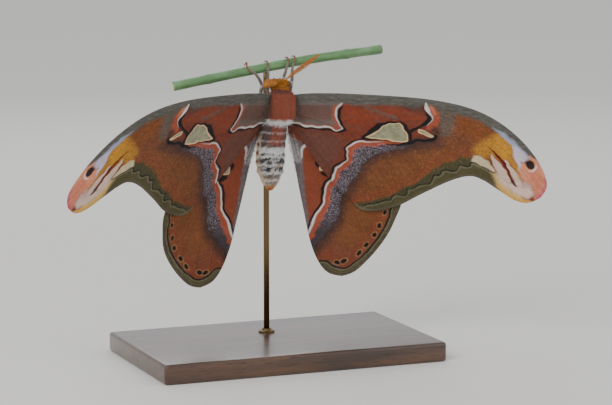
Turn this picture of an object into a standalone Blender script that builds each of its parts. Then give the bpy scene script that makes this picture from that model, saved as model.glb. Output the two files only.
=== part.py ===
"""An atlas moth at life size, hanging from a cut length of green stem on a plain display stand.

The moth is modelled in its own frame: X to its right as seen from behind its back, Y from back to belly,
Z towards the head, with the origin in the middle of the thorax. An empty sets that frame on the stand.
Sizes are in millimetres until a mesh is made.
"""

import math

import bmesh
import bpy
from mathutils import Matrix, Vector

MM = 0.001
GAP = 0.3

# Where the moth hangs, above the middle of the base
THORAX_HEIGHT = 130.0
THORAX_FORWARD = 8.0
LEAN = 2.0

# Wings: the plane of a forewing, turned forward from the body's side and leaning back towards its hem
WING_ROOT = Vector((7.7, 5.6, -10.3))
WING_RAISE = 31.0
WING_TILT = 25.2
WING_SPAN = 130.0
WING_CAMBER = 1.5
WING_THICKNESS = 0.8
WING_CELL = 9.0
WING_LAYER = 1.5
HIND_CURL = 0.47
HIND_CURL_START = 10.0
HIND_CURL_SOFTNESS = 3.5
HIND_DROP = {"left": 7.0, "right": 0.0}
SPLINE_STEPS = 3

# Outlines in the wing's plane: out from the root, and back towards the hem
FOREWING_OUTLINE = [
    (-3.5, -11.0), (2.0, -16.6), (20.0, -18.9), (45.0, -19.4), (68.0, -18.6), (86.0, -15.6), (100.0, -9.9),
    (112.0, -0.8), (121.5, 10.5), (127.3, 21.5), (129.0, 30.0), (126.0, 36.6), (119.5, 40.0), (112.5, 38.3),
    (104.0, 32.2), (96.5, 27.0), (90.0, 25.2), (80.5, 28.4), (66.0, 37.0), (54.0, 44.8), (44.0, 48.6),
    (35.5, 49.2), (31.3, 46.3), (22.0, 35.8), (12.0, 21.5), (4.0, 7.5), (-3.0, 1.0),
]
HINDWING_OUTLINE = [
    (-2.5, -2.5), (10.0, -6.0), (28.0, -2.0), (44.0, 10.0), (53.5, 26.0), (55.5, 42.0), (51.8, 54.5),
    (47.0, 65.5), (40.0, 76.0), (31.5, 84.0), (24.5, 86.0), (17.5, 83.0), (12.5, 76.0), (8.6, 65.0),
    (5.6, 50.0), (2.6, 34.0), (0.3, 18.0), (-1.8, 6.0),
]
FOREWING_TORNUS = Vector((32.3, 47.0))

# Body
THORAX_HALF = Vector((7.0, 7.0, 9.3))
THORAX_CENTRE = Vector((0.0, 0.3, -1.4))
THORAX_SQUARENESS = 0.64
HEAD_HALF = Vector((5.5, 4.4, 3.4))
HEAD_CENTRE = Vector((0.0, 4.2, 9.3))
EYE_RADIUS = 1.75
EYE_CENTRE = Vector((4.9, 4.6, 9.6))
ABDOMEN_LINE = [(-0.9, 4.8, -9.6), (-2.0, 6.6, -18.0), (-1.9, 8.2, -28.0), (-1.5, 8.8, -37.0), (-1.5, 8.6, -44.8)]
ABDOMEN_RADII = [(0.0, 4.8), (0.06, 6.7), (0.2, 7.4), (0.5, 7.8), (0.68, 7.1), (0.84, 4.9), (0.94, 2.5), (1.0, 0.9)]
ABDOMEN_FLATNESS = 0.9
ABDOMEN_SEGMENTS = 8
SEGMENT_GROOVE = 0.05
RINGS_PER_SEGMENT = 3
ABDOMEN_SIDES = 20

# Antennae: the comb's outline, leaf-shaped and flat
ANTENNA_WIDTHS = [(0.0, 0.9), (0.12, 2.6), (0.35, 4.6), (0.65, 4.2), (0.88, 2.3), (1.0, 0.8)]
ANTENNA_THICKNESS = 0.9
ANTENNA_SIDES = 8
ANTENNA_RINGS = 12
ANTENNAE = {
    "right": {"line": [(2.6, 1.4, 12.9), (6.7, -0.7, 16.2), (12.5, -2.5, 20.8), (18.3, -3.3, 25.3)],
              "across": (0.0, 0.9, 0.4)},
    "left": {"line": [(-2.2, -0.8, 12.1), (-3.9, -2.1, 11.5), (-6.2, -1.3, 10.8), (-7.7, 2.0, 10.1), (-8.0, 6.0, 9.0)],
             "across": (0.2, 0.0, 1.0)},
}

# Stem and stand
STEM_RADIUS = 2.45
STEM_LINE = [(-54.0, 11.3, 7.8), (-20.0, 11.6, 14.4), (0.0, 11.5, 18.2), (22.0, 11.3, 22.0), (58.0, 10.7, 26.8)]
STEM_STEPS = 4
STEM_SIDES = 16
ROD_RADIUS = 1.5
ROD_TIP_RADIUS = 0.9
ROD_TIP_DEPTH = 1.5
ROD_DEPTH = 21.5
ROD_SOCKET_DEPTH = 6.5
BASE_SIZE = Vector((150.0, 90.0, 10.0))
BASE_ROUND = 1.6

# Legs: each line runs from the thorax over the knee to the shin's end, with its thickness beside it
LEG_LINES = {
    "fore_leg_left": [
        (-3.0, 8.6, 3.0, 0.9), (-4.2, 9.8, 6.2, 1.05), (-4.6, 8.9, 10.4, 0.95), (-4.6, 8.0, 14.0, 0.9),
        (-4.8, 7.9, 16.6, 0.8),
    ],
    "fore_leg_right": [
        (3.0, 8.6, 3.0, 0.9), (4.0, 9.9, 6.6, 1.05), (4.2, 9.2, 12.0, 0.95), (4.8, 8.1, 15.4, 0.9),
        (5.4, 7.9, 18.4, 0.8),
    ],
    "mid_leg_left": [
        (-4.6, 8.4, -0.8, 0.9), (-7.4, 10.6, 2.8, 1.1), (-7.0, 9.9, 8.2, 1.0), (-9.6, 8.3, 12.4, 0.9),
        (-12.4, 7.8, 15.2, 0.8),
    ],
    "mid_leg_right": [
        (4.6, 8.4, -0.8, 0.9), (7.6, 10.2, 3.4, 1.1), (8.6, 8.9, 9.6, 1.0), (8.5, 8.1, 14.0, 0.9),
        (8.4, 7.8, 18.0, 0.8),
    ],
    "hind_leg_left": [
        (-3.4, 8.8, -4.6, 0.9), (-6.4, 13.4, -3.0, 1.1), (-7.8, 16.2, -6.4, 1.0), (-7.9, 17.4, -11.6, 0.8),
        (-7.2, 18.2, -15.4, 0.65), (-6.9, 18.6, -19.0, 0.55), (-6.9, 18.2, -22.2, 0.45),
    ],
    "hind_leg_right": [
        (3.4, 8.8, -4.6, 0.9), (6.4, 13.4, -3.0, 1.1), (7.8, 16.2, -6.4, 1.0), (7.9, 17.4, -11.6, 0.8),
        (7.2, 18.2, -15.4, 0.65), (6.9, 18.6, -19.0, 0.55), (6.9, 18.2, -22.2, 0.45),
    ],
}
# Where each foot hooks over the stem, and how far it arches above it
GRIPS = {
    "fore_leg_left": (-5.0, 0.9), "fore_leg_right": (6.0, 0.9), "mid_leg_left": (-15.8, 2.3), "mid_leg_right": (9.7, 0.9),
}
FOOT_RADII = (0.65, 0.6, 0.5, 0.38)

COLOURS = {
    "wing_scales": ((0.30, 0.10, 0.05), 0.75),
    "body_fur": ((0.33, 0.09, 0.05), 0.85),
    "abdomen_fur": ((0.46, 0.42, 0.40), 0.85),
    "antenna_comb": ((0.55, 0.27, 0.05), 0.7),
    "leg_fur": ((0.30, 0.25, 0.24), 0.85),
    "eye_lens": ((0.03, 0.02, 0.02), 0.2),
    "green_stem": ((0.16, 0.26, 0.13), 0.45),
    "stand_wood": ((0.12, 0.07, 0.04), 0.5),
    "stand_metal": ((0.45, 0.42, 0.36), 0.35),
}


def clear_scene():
    for thing in list(bpy.data.objects):
        bpy.data.objects.remove(thing)


def new_collection(name):
    made = bpy.data.collections.new(name)
    bpy.context.scene.collection.children.link(made)
    return made


def material(name):
    found = bpy.data.materials.get(name)
    if found:
        return found
    colour, roughness = COLOURS[name]
    made = bpy.data.materials.new(name)
    made.use_nodes = True
    shader = made.node_tree.nodes["Principled BSDF"]
    shader.inputs["Base Color"].default_value = (*colour, 1.0)
    shader.inputs["Roughness"].default_value = roughness
    shader.inputs["Metallic"].default_value = 1.0 if name == "stand_metal" else 0.0
    return made


def add_object(name, data, finish, where, parent=None):
    thing = bpy.data.objects.new(name, data)
    where.objects.link(thing)
    thing.parent = parent
    if finish:
        data.materials.append(material(finish))
    return thing


def smooth_path(points, steps, closed=False):
    """Points on a Catmull-Rom curve through the given ones."""
    count = len(points)
    places = [Vector(p) for p in points]
    spans = count if closed else count - 1

    def at(i):
        return places[i % count] if closed else places[max(0, min(count - 1, i))]

    path = []
    for i in range(spans):
        a, b, c, d = at(i - 1), at(i), at(i + 1), at(i + 2)
        for step in range(steps):
            t = step / steps
            path.append(
                0.5 * (2 * b + (c - a) * t + (2 * a - 5 * b + 4 * c - d) * t**2 + (3 * b - a - 3 * c + d) * t**3)
            )
    if not closed:
        path.append(places[-1])
    return path


def along(table, t):
    """The value at t in a table of (t, value), eased between its entries."""
    for (t0, v0), (t1, v1) in zip(table, table[1:]):
        if t <= t1:
            share = (t - t0) / (t1 - t0)
            share = share * share * (3 - 2 * share)
            return v0 + (v1 - v0) * share
    return table[-1][1]


def soft_ramp(distance, softness):
    """Zero before the fold and one to one after it, with a round bend between."""
    return softness * math.log1p(math.exp(max(-40.0, min(40.0, distance / softness))))


def wing_axes():
    turn, tilt = math.radians(WING_RAISE), math.radians(WING_TILT)
    out = Vector((math.cos(turn), -math.sin(turn), 0.0))
    back = Vector((math.sin(turn) * math.sin(tilt), math.cos(turn) * math.sin(tilt), -math.cos(tilt)))
    return out, back, back.cross(out)


def wing_point(u, v, lift):
    """A place on the right wings: u out from the root, v back, lift towards the back's side."""
    out, back, up = wing_axes()
    bow = WING_CAMBER * math.sin(math.pi * max(0.0, min(1.0, u / WING_SPAN)))
    return WING_ROOT + u * out + v * back + (lift + bow) * up


def forewing_place(u, v, side):
    return wing_point(u, v, 0.0)


def hindwing_place(u, v, side):
    """The hindwing lies under the forewing and curls towards the back beyond the forewing's hem."""
    drop = math.radians(HIND_DROP[side])
    turned = Vector((u * math.cos(drop) - v * math.sin(drop), u * math.sin(drop) + v * math.cos(drop)))
    hem = FOREWING_TORNUS.normalized()
    beyond = turned.dot(Vector((-hem.y, hem.x)))
    lift = -WING_LAYER + HIND_CURL * soft_ramp(beyond - HIND_CURL_START, HIND_CURL_SOFTNESS)
    return wing_point(turned.x, turned.y, lift)


def flat_cells(outline, cell):
    """A flat mesh of the outline, cut into cells along both directions."""
    mesh = bmesh.new()
    corners = [mesh.verts.new((p.x, p.y, 0.0)) for p in outline]
    mesh.faces.new(corners)
    for axis in range(2):
        values = [p[axis] for p in outline]
        at = math.floor(min(values) / cell) * cell + cell
        while at < max(values):
            place, normal = Vector(), Vector()
            place[axis], normal[axis] = at, 1.0
            everything = mesh.verts[:] + mesh.edges[:] + mesh.faces[:]
            bmesh.ops.bisect_plane(mesh, geom=everything, dist=0.05, plane_co=place, plane_no=normal)
            at += cell
    bmesh.ops.remove_doubles(mesh, verts=mesh.verts, dist=0.15)
    bmesh.ops.triangulate(mesh, faces=mesh.faces)
    return mesh


def make_wing(name, outline, place, side, where, pose, cutters):
    """A wing as a thin sheet over its curved plane, trimmed clear of the body."""
    cells = flat_cells(smooth_path(outline, SPLINE_STEPS, closed=True), WING_CELL)
    for vert in cells.verts:
        spot = place(vert.co.x, vert.co.y, side)
        vert.co = Vector((-spot.x if side == "left" else spot.x, spot.y, spot.z)) * MM
    bmesh.ops.recalc_face_normals(cells, faces=cells.faces)
    data = bpy.data.meshes.new(name)
    cells.to_mesh(data)
    cells.free()
    wing = add_object(name, data, "wing_scales", where, pose)
    sheet = wing.modifiers.new("thickness", "SOLIDIFY")
    sheet.thickness = WING_THICKNESS * MM
    sheet.offset = 0.0
    for cutter in cutters:
        trim = wing.modifiers.new("trim_" + cutter.name, "BOOLEAN")
        trim.operation = "DIFFERENCE"
        trim.object = cutter
    return wing


def ball(name, centre, half, squareness, finish, where, pose, sides=20, rings=12):
    """A rounded lump: a sphere with its own half sizes, squarer where squareness is under one."""
    mesh = bmesh.new()
    bmesh.ops.create_uvsphere(mesh, u_segments=sides, v_segments=rings, radius=1.0)
    for vert in mesh.verts:
        shaped = [math.copysign(abs(c) ** squareness, c) for c in vert.co]
        vert.co = Vector([(centre[i] + shaped[i] * half[i]) * MM for i in range(3)])
    data = bpy.data.meshes.new(name)
    mesh.to_mesh(data)
    mesh.free()
    data.shade_smooth()
    return add_object(name, data, finish, where, pose)


def loft(name, line, size, sides, rings, across_hint, finish, where, pose):
    """A closed body along a line. size(t) gives its half width, along the hint's direction, and half thickness."""
    path = smooth_path(line, rings)
    total = len(path) - 1
    mesh = bmesh.new()
    loops = []
    for i, centre in enumerate(path):
        ahead = (path[min(i + 1, total)] - path[max(i - 1, 0)]).normalized()
        hint = Vector(across_hint)
        across = (hint - ahead * hint.dot(ahead)).normalized()
        up = across.cross(ahead)
        wide, thick = size(i / total)
        loop = []
        for k in range(sides):
            angle = 2 * math.pi * k / sides
            spot = centre + across * (wide * math.cos(angle)) + up * (thick * math.sin(angle))
            loop.append(mesh.verts.new(spot * MM))
        loops.append(loop)
    for first, second in zip(loops, loops[1:]):
        for k in range(sides):
            mesh.faces.new((first[k], first[(k + 1) % sides], second[(k + 1) % sides], second[k]))
    mesh.faces.new(loops[0])
    mesh.faces.new(loops[-1])
    bmesh.ops.recalc_face_normals(mesh, faces=mesh.faces)
    data = bpy.data.meshes.new(name)
    mesh.to_mesh(data)
    mesh.free()
    data.shade_smooth()
    return add_object(name, data, finish, where, pose)


def abdomen_size(extra):
    def size(t):
        phase = (t * ABDOMEN_SEGMENTS) % 1.0
        groove = 1.0 - SEGMENT_GROOVE * math.cos(2 * math.pi * phase) ** 4
        wide = along(ABDOMEN_RADII, t) * groove + extra
        return wide, wide * ABDOMEN_FLATNESS

    return size


def antenna_size(t):
    return along(ANTENNA_WIDTHS, t) / 2, ANTENNA_THICKNESS / 2


def stem_size(t):
    return STEM_RADIUS, STEM_RADIUS


def tube(name, line, radii, finish, where, pose, resolution=2):
    """A bent rod with round section. radii holds its radius at each point of the line."""
    curve = bpy.data.curves.new(name, "CURVE")
    curve.dimensions = "3D"
    curve.bevel_depth = MM
    curve.bevel_resolution = resolution
    curve.use_fill_caps = True
    spline = curve.splines.new("POLY")
    spline.points.add(len(line) - 1)
    for point, place, radius in zip(spline.points, line, radii):
        point.co = (*(Vector(place) * MM), 1.0)
        point.radius = radius
    return add_object(name, curve, finish, where, pose)


def stem_height(x):
    """The height of the stem's middle where it passes x."""
    for (x0, _, z0), (x1, _, z1) in zip(STEM_LINE, STEM_LINE[1:]):
        if x <= x1:
            return z0 + (z1 - z0) * (x - x0) / (x1 - x0)
    return STEM_LINE[-1][2]


def foot_hook(x, arch):
    """A foot's knots: up the near side of the stem, over it, and down on its far side."""
    near, middle = 8.0, 11.5
    top = stem_height(x) + STEM_RADIUS
    rest = top + GAP + FOOT_RADII[2]
    return [
        (x, near, top - 0.7, FOOT_RADII[0]), (x, near + 1.0, top + arch, FOOT_RADII[1]),
        (x, middle - 0.2, rest + (arch - 0.9) * 0.4, FOOT_RADII[2]), (x, middle + 1.0, rest - 0.05, FOOT_RADII[3]),
    ]


def make_leg(name, where, pose):
    knots = list(LEG_LINES[name])
    if name in GRIPS:
        knots += foot_hook(*GRIPS[name])
    places = smooth_path([k[:3] for k in knots], 2)
    radii = [r.x for r in smooth_path([(k[3], 0.0) for k in knots], 2)]
    return tube(name, places, radii, "leg_fur", where, pose)


def cut(thing, cutter):
    made = thing.modifiers.new("cut_" + cutter.name, "BOOLEAN")
    made.operation = "DIFFERENCE"
    made.object = cutter


def as_cutter(thing):
    thing.hide_render = True
    thing.display_type = "WIRE"
    return thing


def make_base(where):
    bpy.ops.mesh.primitive_cube_add(size=1.0, location=(0.0, 0.0, BASE_SIZE.z / 2 * MM))
    base = bpy.context.object
    base.name = "stand_base"
    for collection in list(base.users_collection):
        collection.objects.unlink(base)
    where.objects.link(base)
    base.data.transform(Matrix.Diagonal((*(BASE_SIZE * MM), 1.0)))
    base.data.materials.append(material("stand_wood"))
    edge = base.modifiers.new("rounded_edges", "BEVEL")
    edge.width = BASE_ROUND * MM
    edge.segments = 3
    return base


def make_cylinder(name, radius, length, centre, axis, sides, finish, where, pose=None):
    mesh = bmesh.new()
    bmesh.ops.create_cone(
        mesh, cap_ends=True, segments=sides, radius1=radius * MM, radius2=radius * MM, depth=length * MM
    )
    turn = Vector((0, 0, 1)).rotation_difference(Vector(axis)).to_matrix().to_4x4()
    mesh.transform(Matrix.Translation(Vector(centre) * MM) @ turn)
    data = bpy.data.meshes.new(name)
    mesh.to_mesh(data)
    mesh.free()
    return add_object(name, data, finish, where, pose)


def make_rod(where, cutters, base, stem_line, stem):
    """A rod that stands in the base, bends forward at its top and ends in a hole in the stem."""
    back = ROD_DEPTH - THORAX_FORWARD
    socket = make_cylinder(
        "rod_socket", ROD_RADIUS + GAP, 2 * ROD_SOCKET_DEPTH, (0.0, back, BASE_SIZE.z), (0, 0, 1), 16, None, cutters
    )
    cut(base, as_cutter(socket))
    top = pose_matrix() @ stem_line[len(stem_line) // 2]
    end = top.y + STEM_RADIUS - ROD_TIP_DEPTH
    hole = make_cylinder(
        "tip_hole", ROD_TIP_RADIUS + GAP, 10.0, (top.x, end - GAP + 5.0, top.z), (0, 1, 0), 16, None, cutters
    )
    cut(stem, as_cutter(hole))
    foot = BASE_SIZE.z - ROD_SOCKET_DEPTH + GAP
    bend = [
        Vector((0.0, back, foot)), Vector((0.0, back, 60.0)), Vector((0.0, back, top.z - 9.0)),
        Vector((top.x * 0.3, back - 0.8, top.z - 3.6)), Vector((top.x * 0.7, back - 3.6, top.z - 0.7)),
        Vector((top.x, back - 6.4, top.z)), Vector((top.x, end, top.z)),
    ]
    radii = [ROD_RADIUS] * 3 + [ROD_RADIUS * 0.95, ROD_RADIUS * 0.8, ROD_TIP_RADIUS, ROD_TIP_RADIUS]
    path = smooth_path(bend, 4)
    sizes = [r.x for r in smooth_path([(r, 0.0) for r in radii], 4)]
    return tube("stand_rod", path, sizes, "stand_metal", where, None, 3)


def pose_matrix():
    return Matrix.Translation(Vector((0.0, -THORAX_FORWARD, THORAX_HEIGHT))) @ Matrix.Rotation(
        math.radians(LEAN), 4, "Y"
    )


def main():
    clear_scene()
    parts = new_collection("atlas_moth")
    cutters = new_collection("cutters")
    pose = bpy.data.objects.new("moth_pose", None)
    parts.objects.link(pose)
    pose.location = Vector((0.0, -THORAX_FORWARD, THORAX_HEIGHT)) * MM
    pose.rotation_euler = (0.0, math.radians(LEAN), 0.0)

    # The body, and slightly larger copies that trim what meets it
    grown = Vector((GAP, GAP, GAP))
    ball("thorax", THORAX_CENTRE, THORAX_HALF, THORAX_SQUARENESS, "body_fur", parts, pose)
    thorax_room = as_cutter(
        ball("thorax_room", THORAX_CENTRE, THORAX_HALF + grown, THORAX_SQUARENESS, None, cutters, pose)
    )
    head = ball("head", HEAD_CENTRE, HEAD_HALF, 0.9, "body_fur", parts, pose, 18, 10)
    cut(head, thorax_room)
    abdomen = loft(
        "abdomen", ABDOMEN_LINE, abdomen_size(0.0), ABDOMEN_SIDES, 2 * RINGS_PER_SEGMENT, (1, 0, 0), "abdomen_fur",
        parts, pose,
    )
    cut(abdomen, thorax_room)
    abdomen_room = as_cutter(
        loft(
            "abdomen_room", ABDOMEN_LINE, abdomen_size(GAP), ABDOMEN_SIDES, 2 * RINGS_PER_SEGMENT, (1, 0, 0), None,
            cutters, pose,
        )
    )
    for side, sign in (("left", -1), ("right", 1)):
        centre = Vector((sign * EYE_CENTRE.x, EYE_CENTRE.y, EYE_CENTRE.z))
        radius = Vector((EYE_RADIUS, EYE_RADIUS, EYE_RADIUS))
        eye = ball("eye_" + side, centre, radius, 1.0, "eye_lens", parts, pose, 14, 8)
        cut(eye, thorax_room)
        room = ball("eye_room_" + side, centre, radius + grown, 1.0, None, cutters, pose, 14, 8)
        cut(head, as_cutter(room))

        for name, outline, place in (
            ("forewing_", FOREWING_OUTLINE, forewing_place),
            ("hindwing_", HINDWING_OUTLINE, hindwing_place),
        ):
            make_wing(name + side, outline, place, side, parts, pose, (thorax_room, abdomen_room))

        feeler = ANTENNAE[side]
        loft(
            "antenna_" + side, feeler["line"], antenna_size, ANTENNA_SIDES, ANTENNA_RINGS // 3, feeler["across"],
            "antenna_comb", parts, pose,
        )

    for name in LEG_LINES:
        make_leg(name, parts, pose)
    stem = loft(
        "perch_stem", STEM_LINE, stem_size, STEM_SIDES, STEM_STEPS, (0, 0, 1), "green_stem", parts, pose
    )
    make_rod(parts, cutters, make_base(parts), smooth_path(STEM_LINE, STEM_STEPS), stem)


main()
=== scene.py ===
"""The looks of a life-size atlas moth on its display stand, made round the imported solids.

Patterns and places are in millimetres. A wing is drawn flat, out from its root and back towards its hem,
and the moth has its own frame: X to its right, Y from back to belly, Z towards the head.
"""

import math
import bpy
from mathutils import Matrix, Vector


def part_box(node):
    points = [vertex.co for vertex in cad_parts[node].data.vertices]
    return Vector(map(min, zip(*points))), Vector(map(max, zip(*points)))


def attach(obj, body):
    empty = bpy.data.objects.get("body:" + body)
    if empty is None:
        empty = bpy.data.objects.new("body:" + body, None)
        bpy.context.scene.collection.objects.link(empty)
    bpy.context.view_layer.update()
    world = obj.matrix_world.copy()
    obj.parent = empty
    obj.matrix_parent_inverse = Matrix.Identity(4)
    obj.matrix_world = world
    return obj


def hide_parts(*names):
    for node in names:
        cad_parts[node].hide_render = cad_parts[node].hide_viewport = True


bl_info = {
    "name": "Atlas moth on a stand",
    "version": (1, 0, 0),
    "blender": (4, 5, 0),
    "location": "View3D > Sidebar > Moth",
    "description": "Builds the wings, fur, feelers, perch, stand and studio of a life-size atlas moth",
    "category": "Add Mesh",
}

import bmesh
import bpy
import numpy as np
from mathutils import Matrix, Vector

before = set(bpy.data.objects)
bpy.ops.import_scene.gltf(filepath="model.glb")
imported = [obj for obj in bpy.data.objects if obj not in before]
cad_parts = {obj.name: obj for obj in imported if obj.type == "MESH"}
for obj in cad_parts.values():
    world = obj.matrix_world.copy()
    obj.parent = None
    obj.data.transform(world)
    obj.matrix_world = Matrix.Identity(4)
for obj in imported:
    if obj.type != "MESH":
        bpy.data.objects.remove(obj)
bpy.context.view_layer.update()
MM = 0.001
BODY = "root"

# Where the moth hangs, and the plane of its wings, as in the solids
POSE = Matrix.Translation((0.0, -8.0 * MM, 130.0 * MM)) @ Matrix.Rotation(math.radians(2.0), 4, "Y")
WING_ROOT = np.array((7.7, 5.6, -10.3))
WING_RAISE = math.radians(31.0)
WING_TILT = math.radians(25.2)
WING_SPAN = 130.0
WING_CAMBER = 1.5
HIND_LAYER = 1.5
HIND_CURL = 0.47
HIND_CURL_START = 10.0
HIND_CURL_SOFTNESS = 3.5
HIND_DROP = {"left": math.radians(7.0), "right": 0.0}
SIDES = ("left", "right")
FOREWING_TORNUS = np.array((32.3, 47.0))
FOREWING_FRONT = [
    (-3.5, -11.0), (2.0, -16.6), (20.0, -18.9), (45.0, -19.4), (68.0, -18.6), (86.0, -15.6), (100.0, -9.9),
    (112.0, -0.8), (121.5, 10.5), (127.3, 21.5), (129.0, 30.0), (126.0, 36.6),
]
FOREWING_BACK = [
    (-3.0, 1.0), (4.0, 7.5), (12.0, 21.5), (22.0, 35.8), (31.3, 46.3), (35.5, 49.2), (44.0, 48.6),
    (54.0, 44.8), (66.0, 37.0), (80.5, 28.4), (90.0, 25.2), (96.5, 27.0), (104.0, 32.2), (112.5, 38.3),
    (119.5, 40.0), (126.0, 36.6),
]
HINDWING_FRONT = [
    (-2.5, -2.5), (10.0, -6.0), (28.0, -2.0), (44.0, 10.0), (53.5, 26.0), (55.5, 42.0), (51.8, 54.5),
    (47.0, 65.5), (40.0, 76.0), (31.5, 84.0), (24.5, 86.0),
]
HINDWING_BACK = [
    (-1.8, 6.0), (0.3, 18.0), (2.6, 34.0), (5.6, 50.0), (8.6, 65.0), (12.5, 76.0), (17.5, 83.0),
    (24.5, 86.0),
]

# Veins, from the root outwards
FORE_VEINS = [
    [(0, -13), (20, -16), (45, -16.4), (72, -15.2), (92, -9.5)],
    [(0, -10.5), (20, -12), (37, -12.2), (56, -9.5), (74, -9.6), (96, -5.5), (112, 4.0), (122, 12.5)],
    [(37, -12.2), (50, -7.6), (56, -5.2), (72, -7.5), (90, -4.0), (104, 5.0), (119, 24.0), (124, 37)],
    [(56.8, -3.0), (70, -1.5), (88, 4.5), (103, 16.0), (113, 38)],
    [(59.0, 2.0), (72, 5.5), (88, 15.5), (97, 27)],
    [(58.5, 5.0), (68, 11.0), (80, 22.0), (85, 26.5)],
    [(50, 5.5), (60, 15.5), (68, 28.0), (71, 34)],
    [(40, 4.8), (50, 19.0), (56, 33.0), (58, 42)],
    [(0, -6.5), (14, -3.0), (28, 1.6), (40, 4.8), (50, 5.5), (58.5, 5.0)],
    [(14, -3.0), (27, 12.0), (37, 30.0), (42, 48.5)],
    [(0, -2.0), (10, 9.0), (20, 26.0), (31, 45)],
]
HIND_VEINS = [
    [(0, -1), (14, -3.0), (30, 1.5), (45, 13)],
    [(2, 2), (16, 6.0), (32, 14.0), (46, 24.0), (54.5, 34)],
    [(16, 6), (30, 20.0), (42, 36.0), (53, 50)],
    [(18, 16), (30, 32.0), (40, 50.0), (47, 65)],
    [(18, 22), (27, 42.0), (34, 60.0), (38, 78)],
    [(15, 22), (21, 42.0), (26, 62.0), (29, 85)],
    [(2, 5), (10, 20.0), (14, 42.0), (18, 62.0), (21, 84.5)],
    [(0, 6), (4, 26.0), (8, 46.0), (12, 66.0), (14.5, 78)],
]

# Lines of the forewing's pattern
FORE_BASAL_EDGE = [
    (26.6, -13.6), (24.2, -11.6), (23.3, -8.7), (23.1, -6.6), (23.6, -4.2), (24.6, -1.9), (26.0, 1.2),
    (22.9, 2.2), (21.4, 1.2), (19.1, 0.6), (14.9, 0.9), (10.8, 0.9), (6.4, 0.6), (4.6, -0.5), (1.5, -0.6),
    (-3.0, -0.9),
]
FORE_CRESCENT = [
    (68.6, -15.8), (69.0, -13.6), (70.2, -11.0), (71.4, -9.2), (72.0, -7.4), (71.0, -5.4), (68.4, -3.2),
]
FORE_CRESCENT_RED = [
    (70.4, -15.6), (72.2, -14.8), (74.2, -11.8), (75.4, -8.9), (75.3, -5.3), (73.6, -2.4), (70.3, -0.7),
    (68.0, -1.6), (69.4, -3.4), (71.8, -5.6), (72.6, -7.6), (71.4, -10.2), (70.4, -12.2),
]
FORE_POST = [
    (73.0, 3.6), (66.0, 5.2), (59.5, 6.8), (54.0, 7.4), (47.4, 7.0), (42.6, 7.8), (38.7, 8.0), (35.4, 7.4),
    (32.1, 9.3), (28.4, 12.1), (28.4, 15.6), (28.0, 19.5), (25.4, 22.2), (22.4, 24.5), (21.3, 27.6),
    (20.1, 31.3), (17.0, 36.0),
]
FORE_POST_WHITE = FORE_POST[4:]
FORE_BAND_END = [
    (75.0, 6.6), (67.0, 8.6), (60.0, 10.4), (50.9, 12.6), (42.7, 16.3), (37.5, 21.3), (33.8, 28.1),
    (30.0, 34.3), (26.7, 41.1), (23.0, 47.0),
]
FORE_PANE = [
    (38.4, 5.4), (42.0, 2.9), (45.3, 0.5), (46.9, -2.0), (49.2, -3.0), (52.4, -3.4), (55.0, -4.1),
    (56.3, -2.7), (57.8, 0.5), (59.1, 3.1), (59.0, 6.4), (56.1, 6.9), (52.3, 6.3), (48.4, 5.7), (42.9, 5.5),
]
FORE_SMALL_PANE = [
    (64.7, -0.7), (67.1, -0.5), (69.7, 0.9), (72.0, 3.0), (70.9, 3.4), (68.7, 2.5), (66.4, 1.5),
    (64.9, 0.5),
]
FORE_WAVE = [
    (36.0, 46.0), (42.1, 44.3), (43.9, 43.5), (46.8, 42.3), (49.8, 41.7), (50.7, 39.8), (52.9, 38.6),
    (57.3, 38.3), (58.4, 36.1), (58.9, 34.4), (61.2, 34.3), (63.4, 32.8), (64.8, 31.8), (67.0, 31.4),
    (70.2, 30.5), (71.5, 27.7), (71.8, 25.6), (74.5, 25.7), (76.1, 24.3), (76.8, 22.6), (78.4, 22.1),
    (83.0, 22.5), (84.4, 20.7), (85.0, 18.8), (87.3, 19.1), (90.1, 19.1), (91.4, 17.2), (94.3, 18.0),
    (98.6, 20.6), (102.9, 22.5),
]
FORE_HEM_START = [
    (30.4, 47.6), (33.8, 44.9), (37.6, 44.2), (42.1, 42.4), (46.6, 40.4), (49.2, 40.3), (51.9, 37.8),
    (56.2, 34.5), (58.8, 32.7), (62.7, 31.4), (64.9, 29.4), (67.0, 27.2), (70.6, 23.8), (72.1, 21.3),
    (75.6, 20.0), (78.5, 17.8), (83.0, 16.5), (85.5, 14.4), (88.3, 14.7), (91.6, 13.8),
]
FORE_COSTAL_EDGE = [
    (-4.0, -13.0), (26.0, -13.6), (32.7, -13.0), (46.8, -14.0), (58.3, -13.9), (63.4, -12.6), (68.0, -15.4),
    (74.0, -14.2), (80.2, -11.6), (90.2, -9.1), (94.8, -7.3), (101.8, -2.3), (107.5, 1.2), (110.4, 3.4),
    (113.0, 5.4), (120.0, 12.0),
]
FORE_FRONT_AREA = FORE_COSTAL_EDGE + [(124, 8), (112, -6), (90, -22), (-8, -24)]
FORE_ROOT_AREA = FORE_BASAL_EDGE + [(-8, 0), (-8, -20), (24, -20)]
FORE_BAND_AREA = FORE_POST + FORE_BAND_END[::-1]
FORE_OUTER_AREA = [
    (74, -14), (100, -6), (112, 6), (100, 14), (92, 14), (70, 26), (36, 48), (22, 48), *FORE_BAND_END[::-1],
]
FORE_HEM_AREA = FORE_HEM_START + [(95, 14), (103, 22.9), (112, 34), (118, 46), (88, 34), (40, 58), (28, 52)]
FORE_WAVE_AREA = FORE_WAVE + [(112, 34), (118, 46), (88, 34), (40, 58), (30, 52)]

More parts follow.
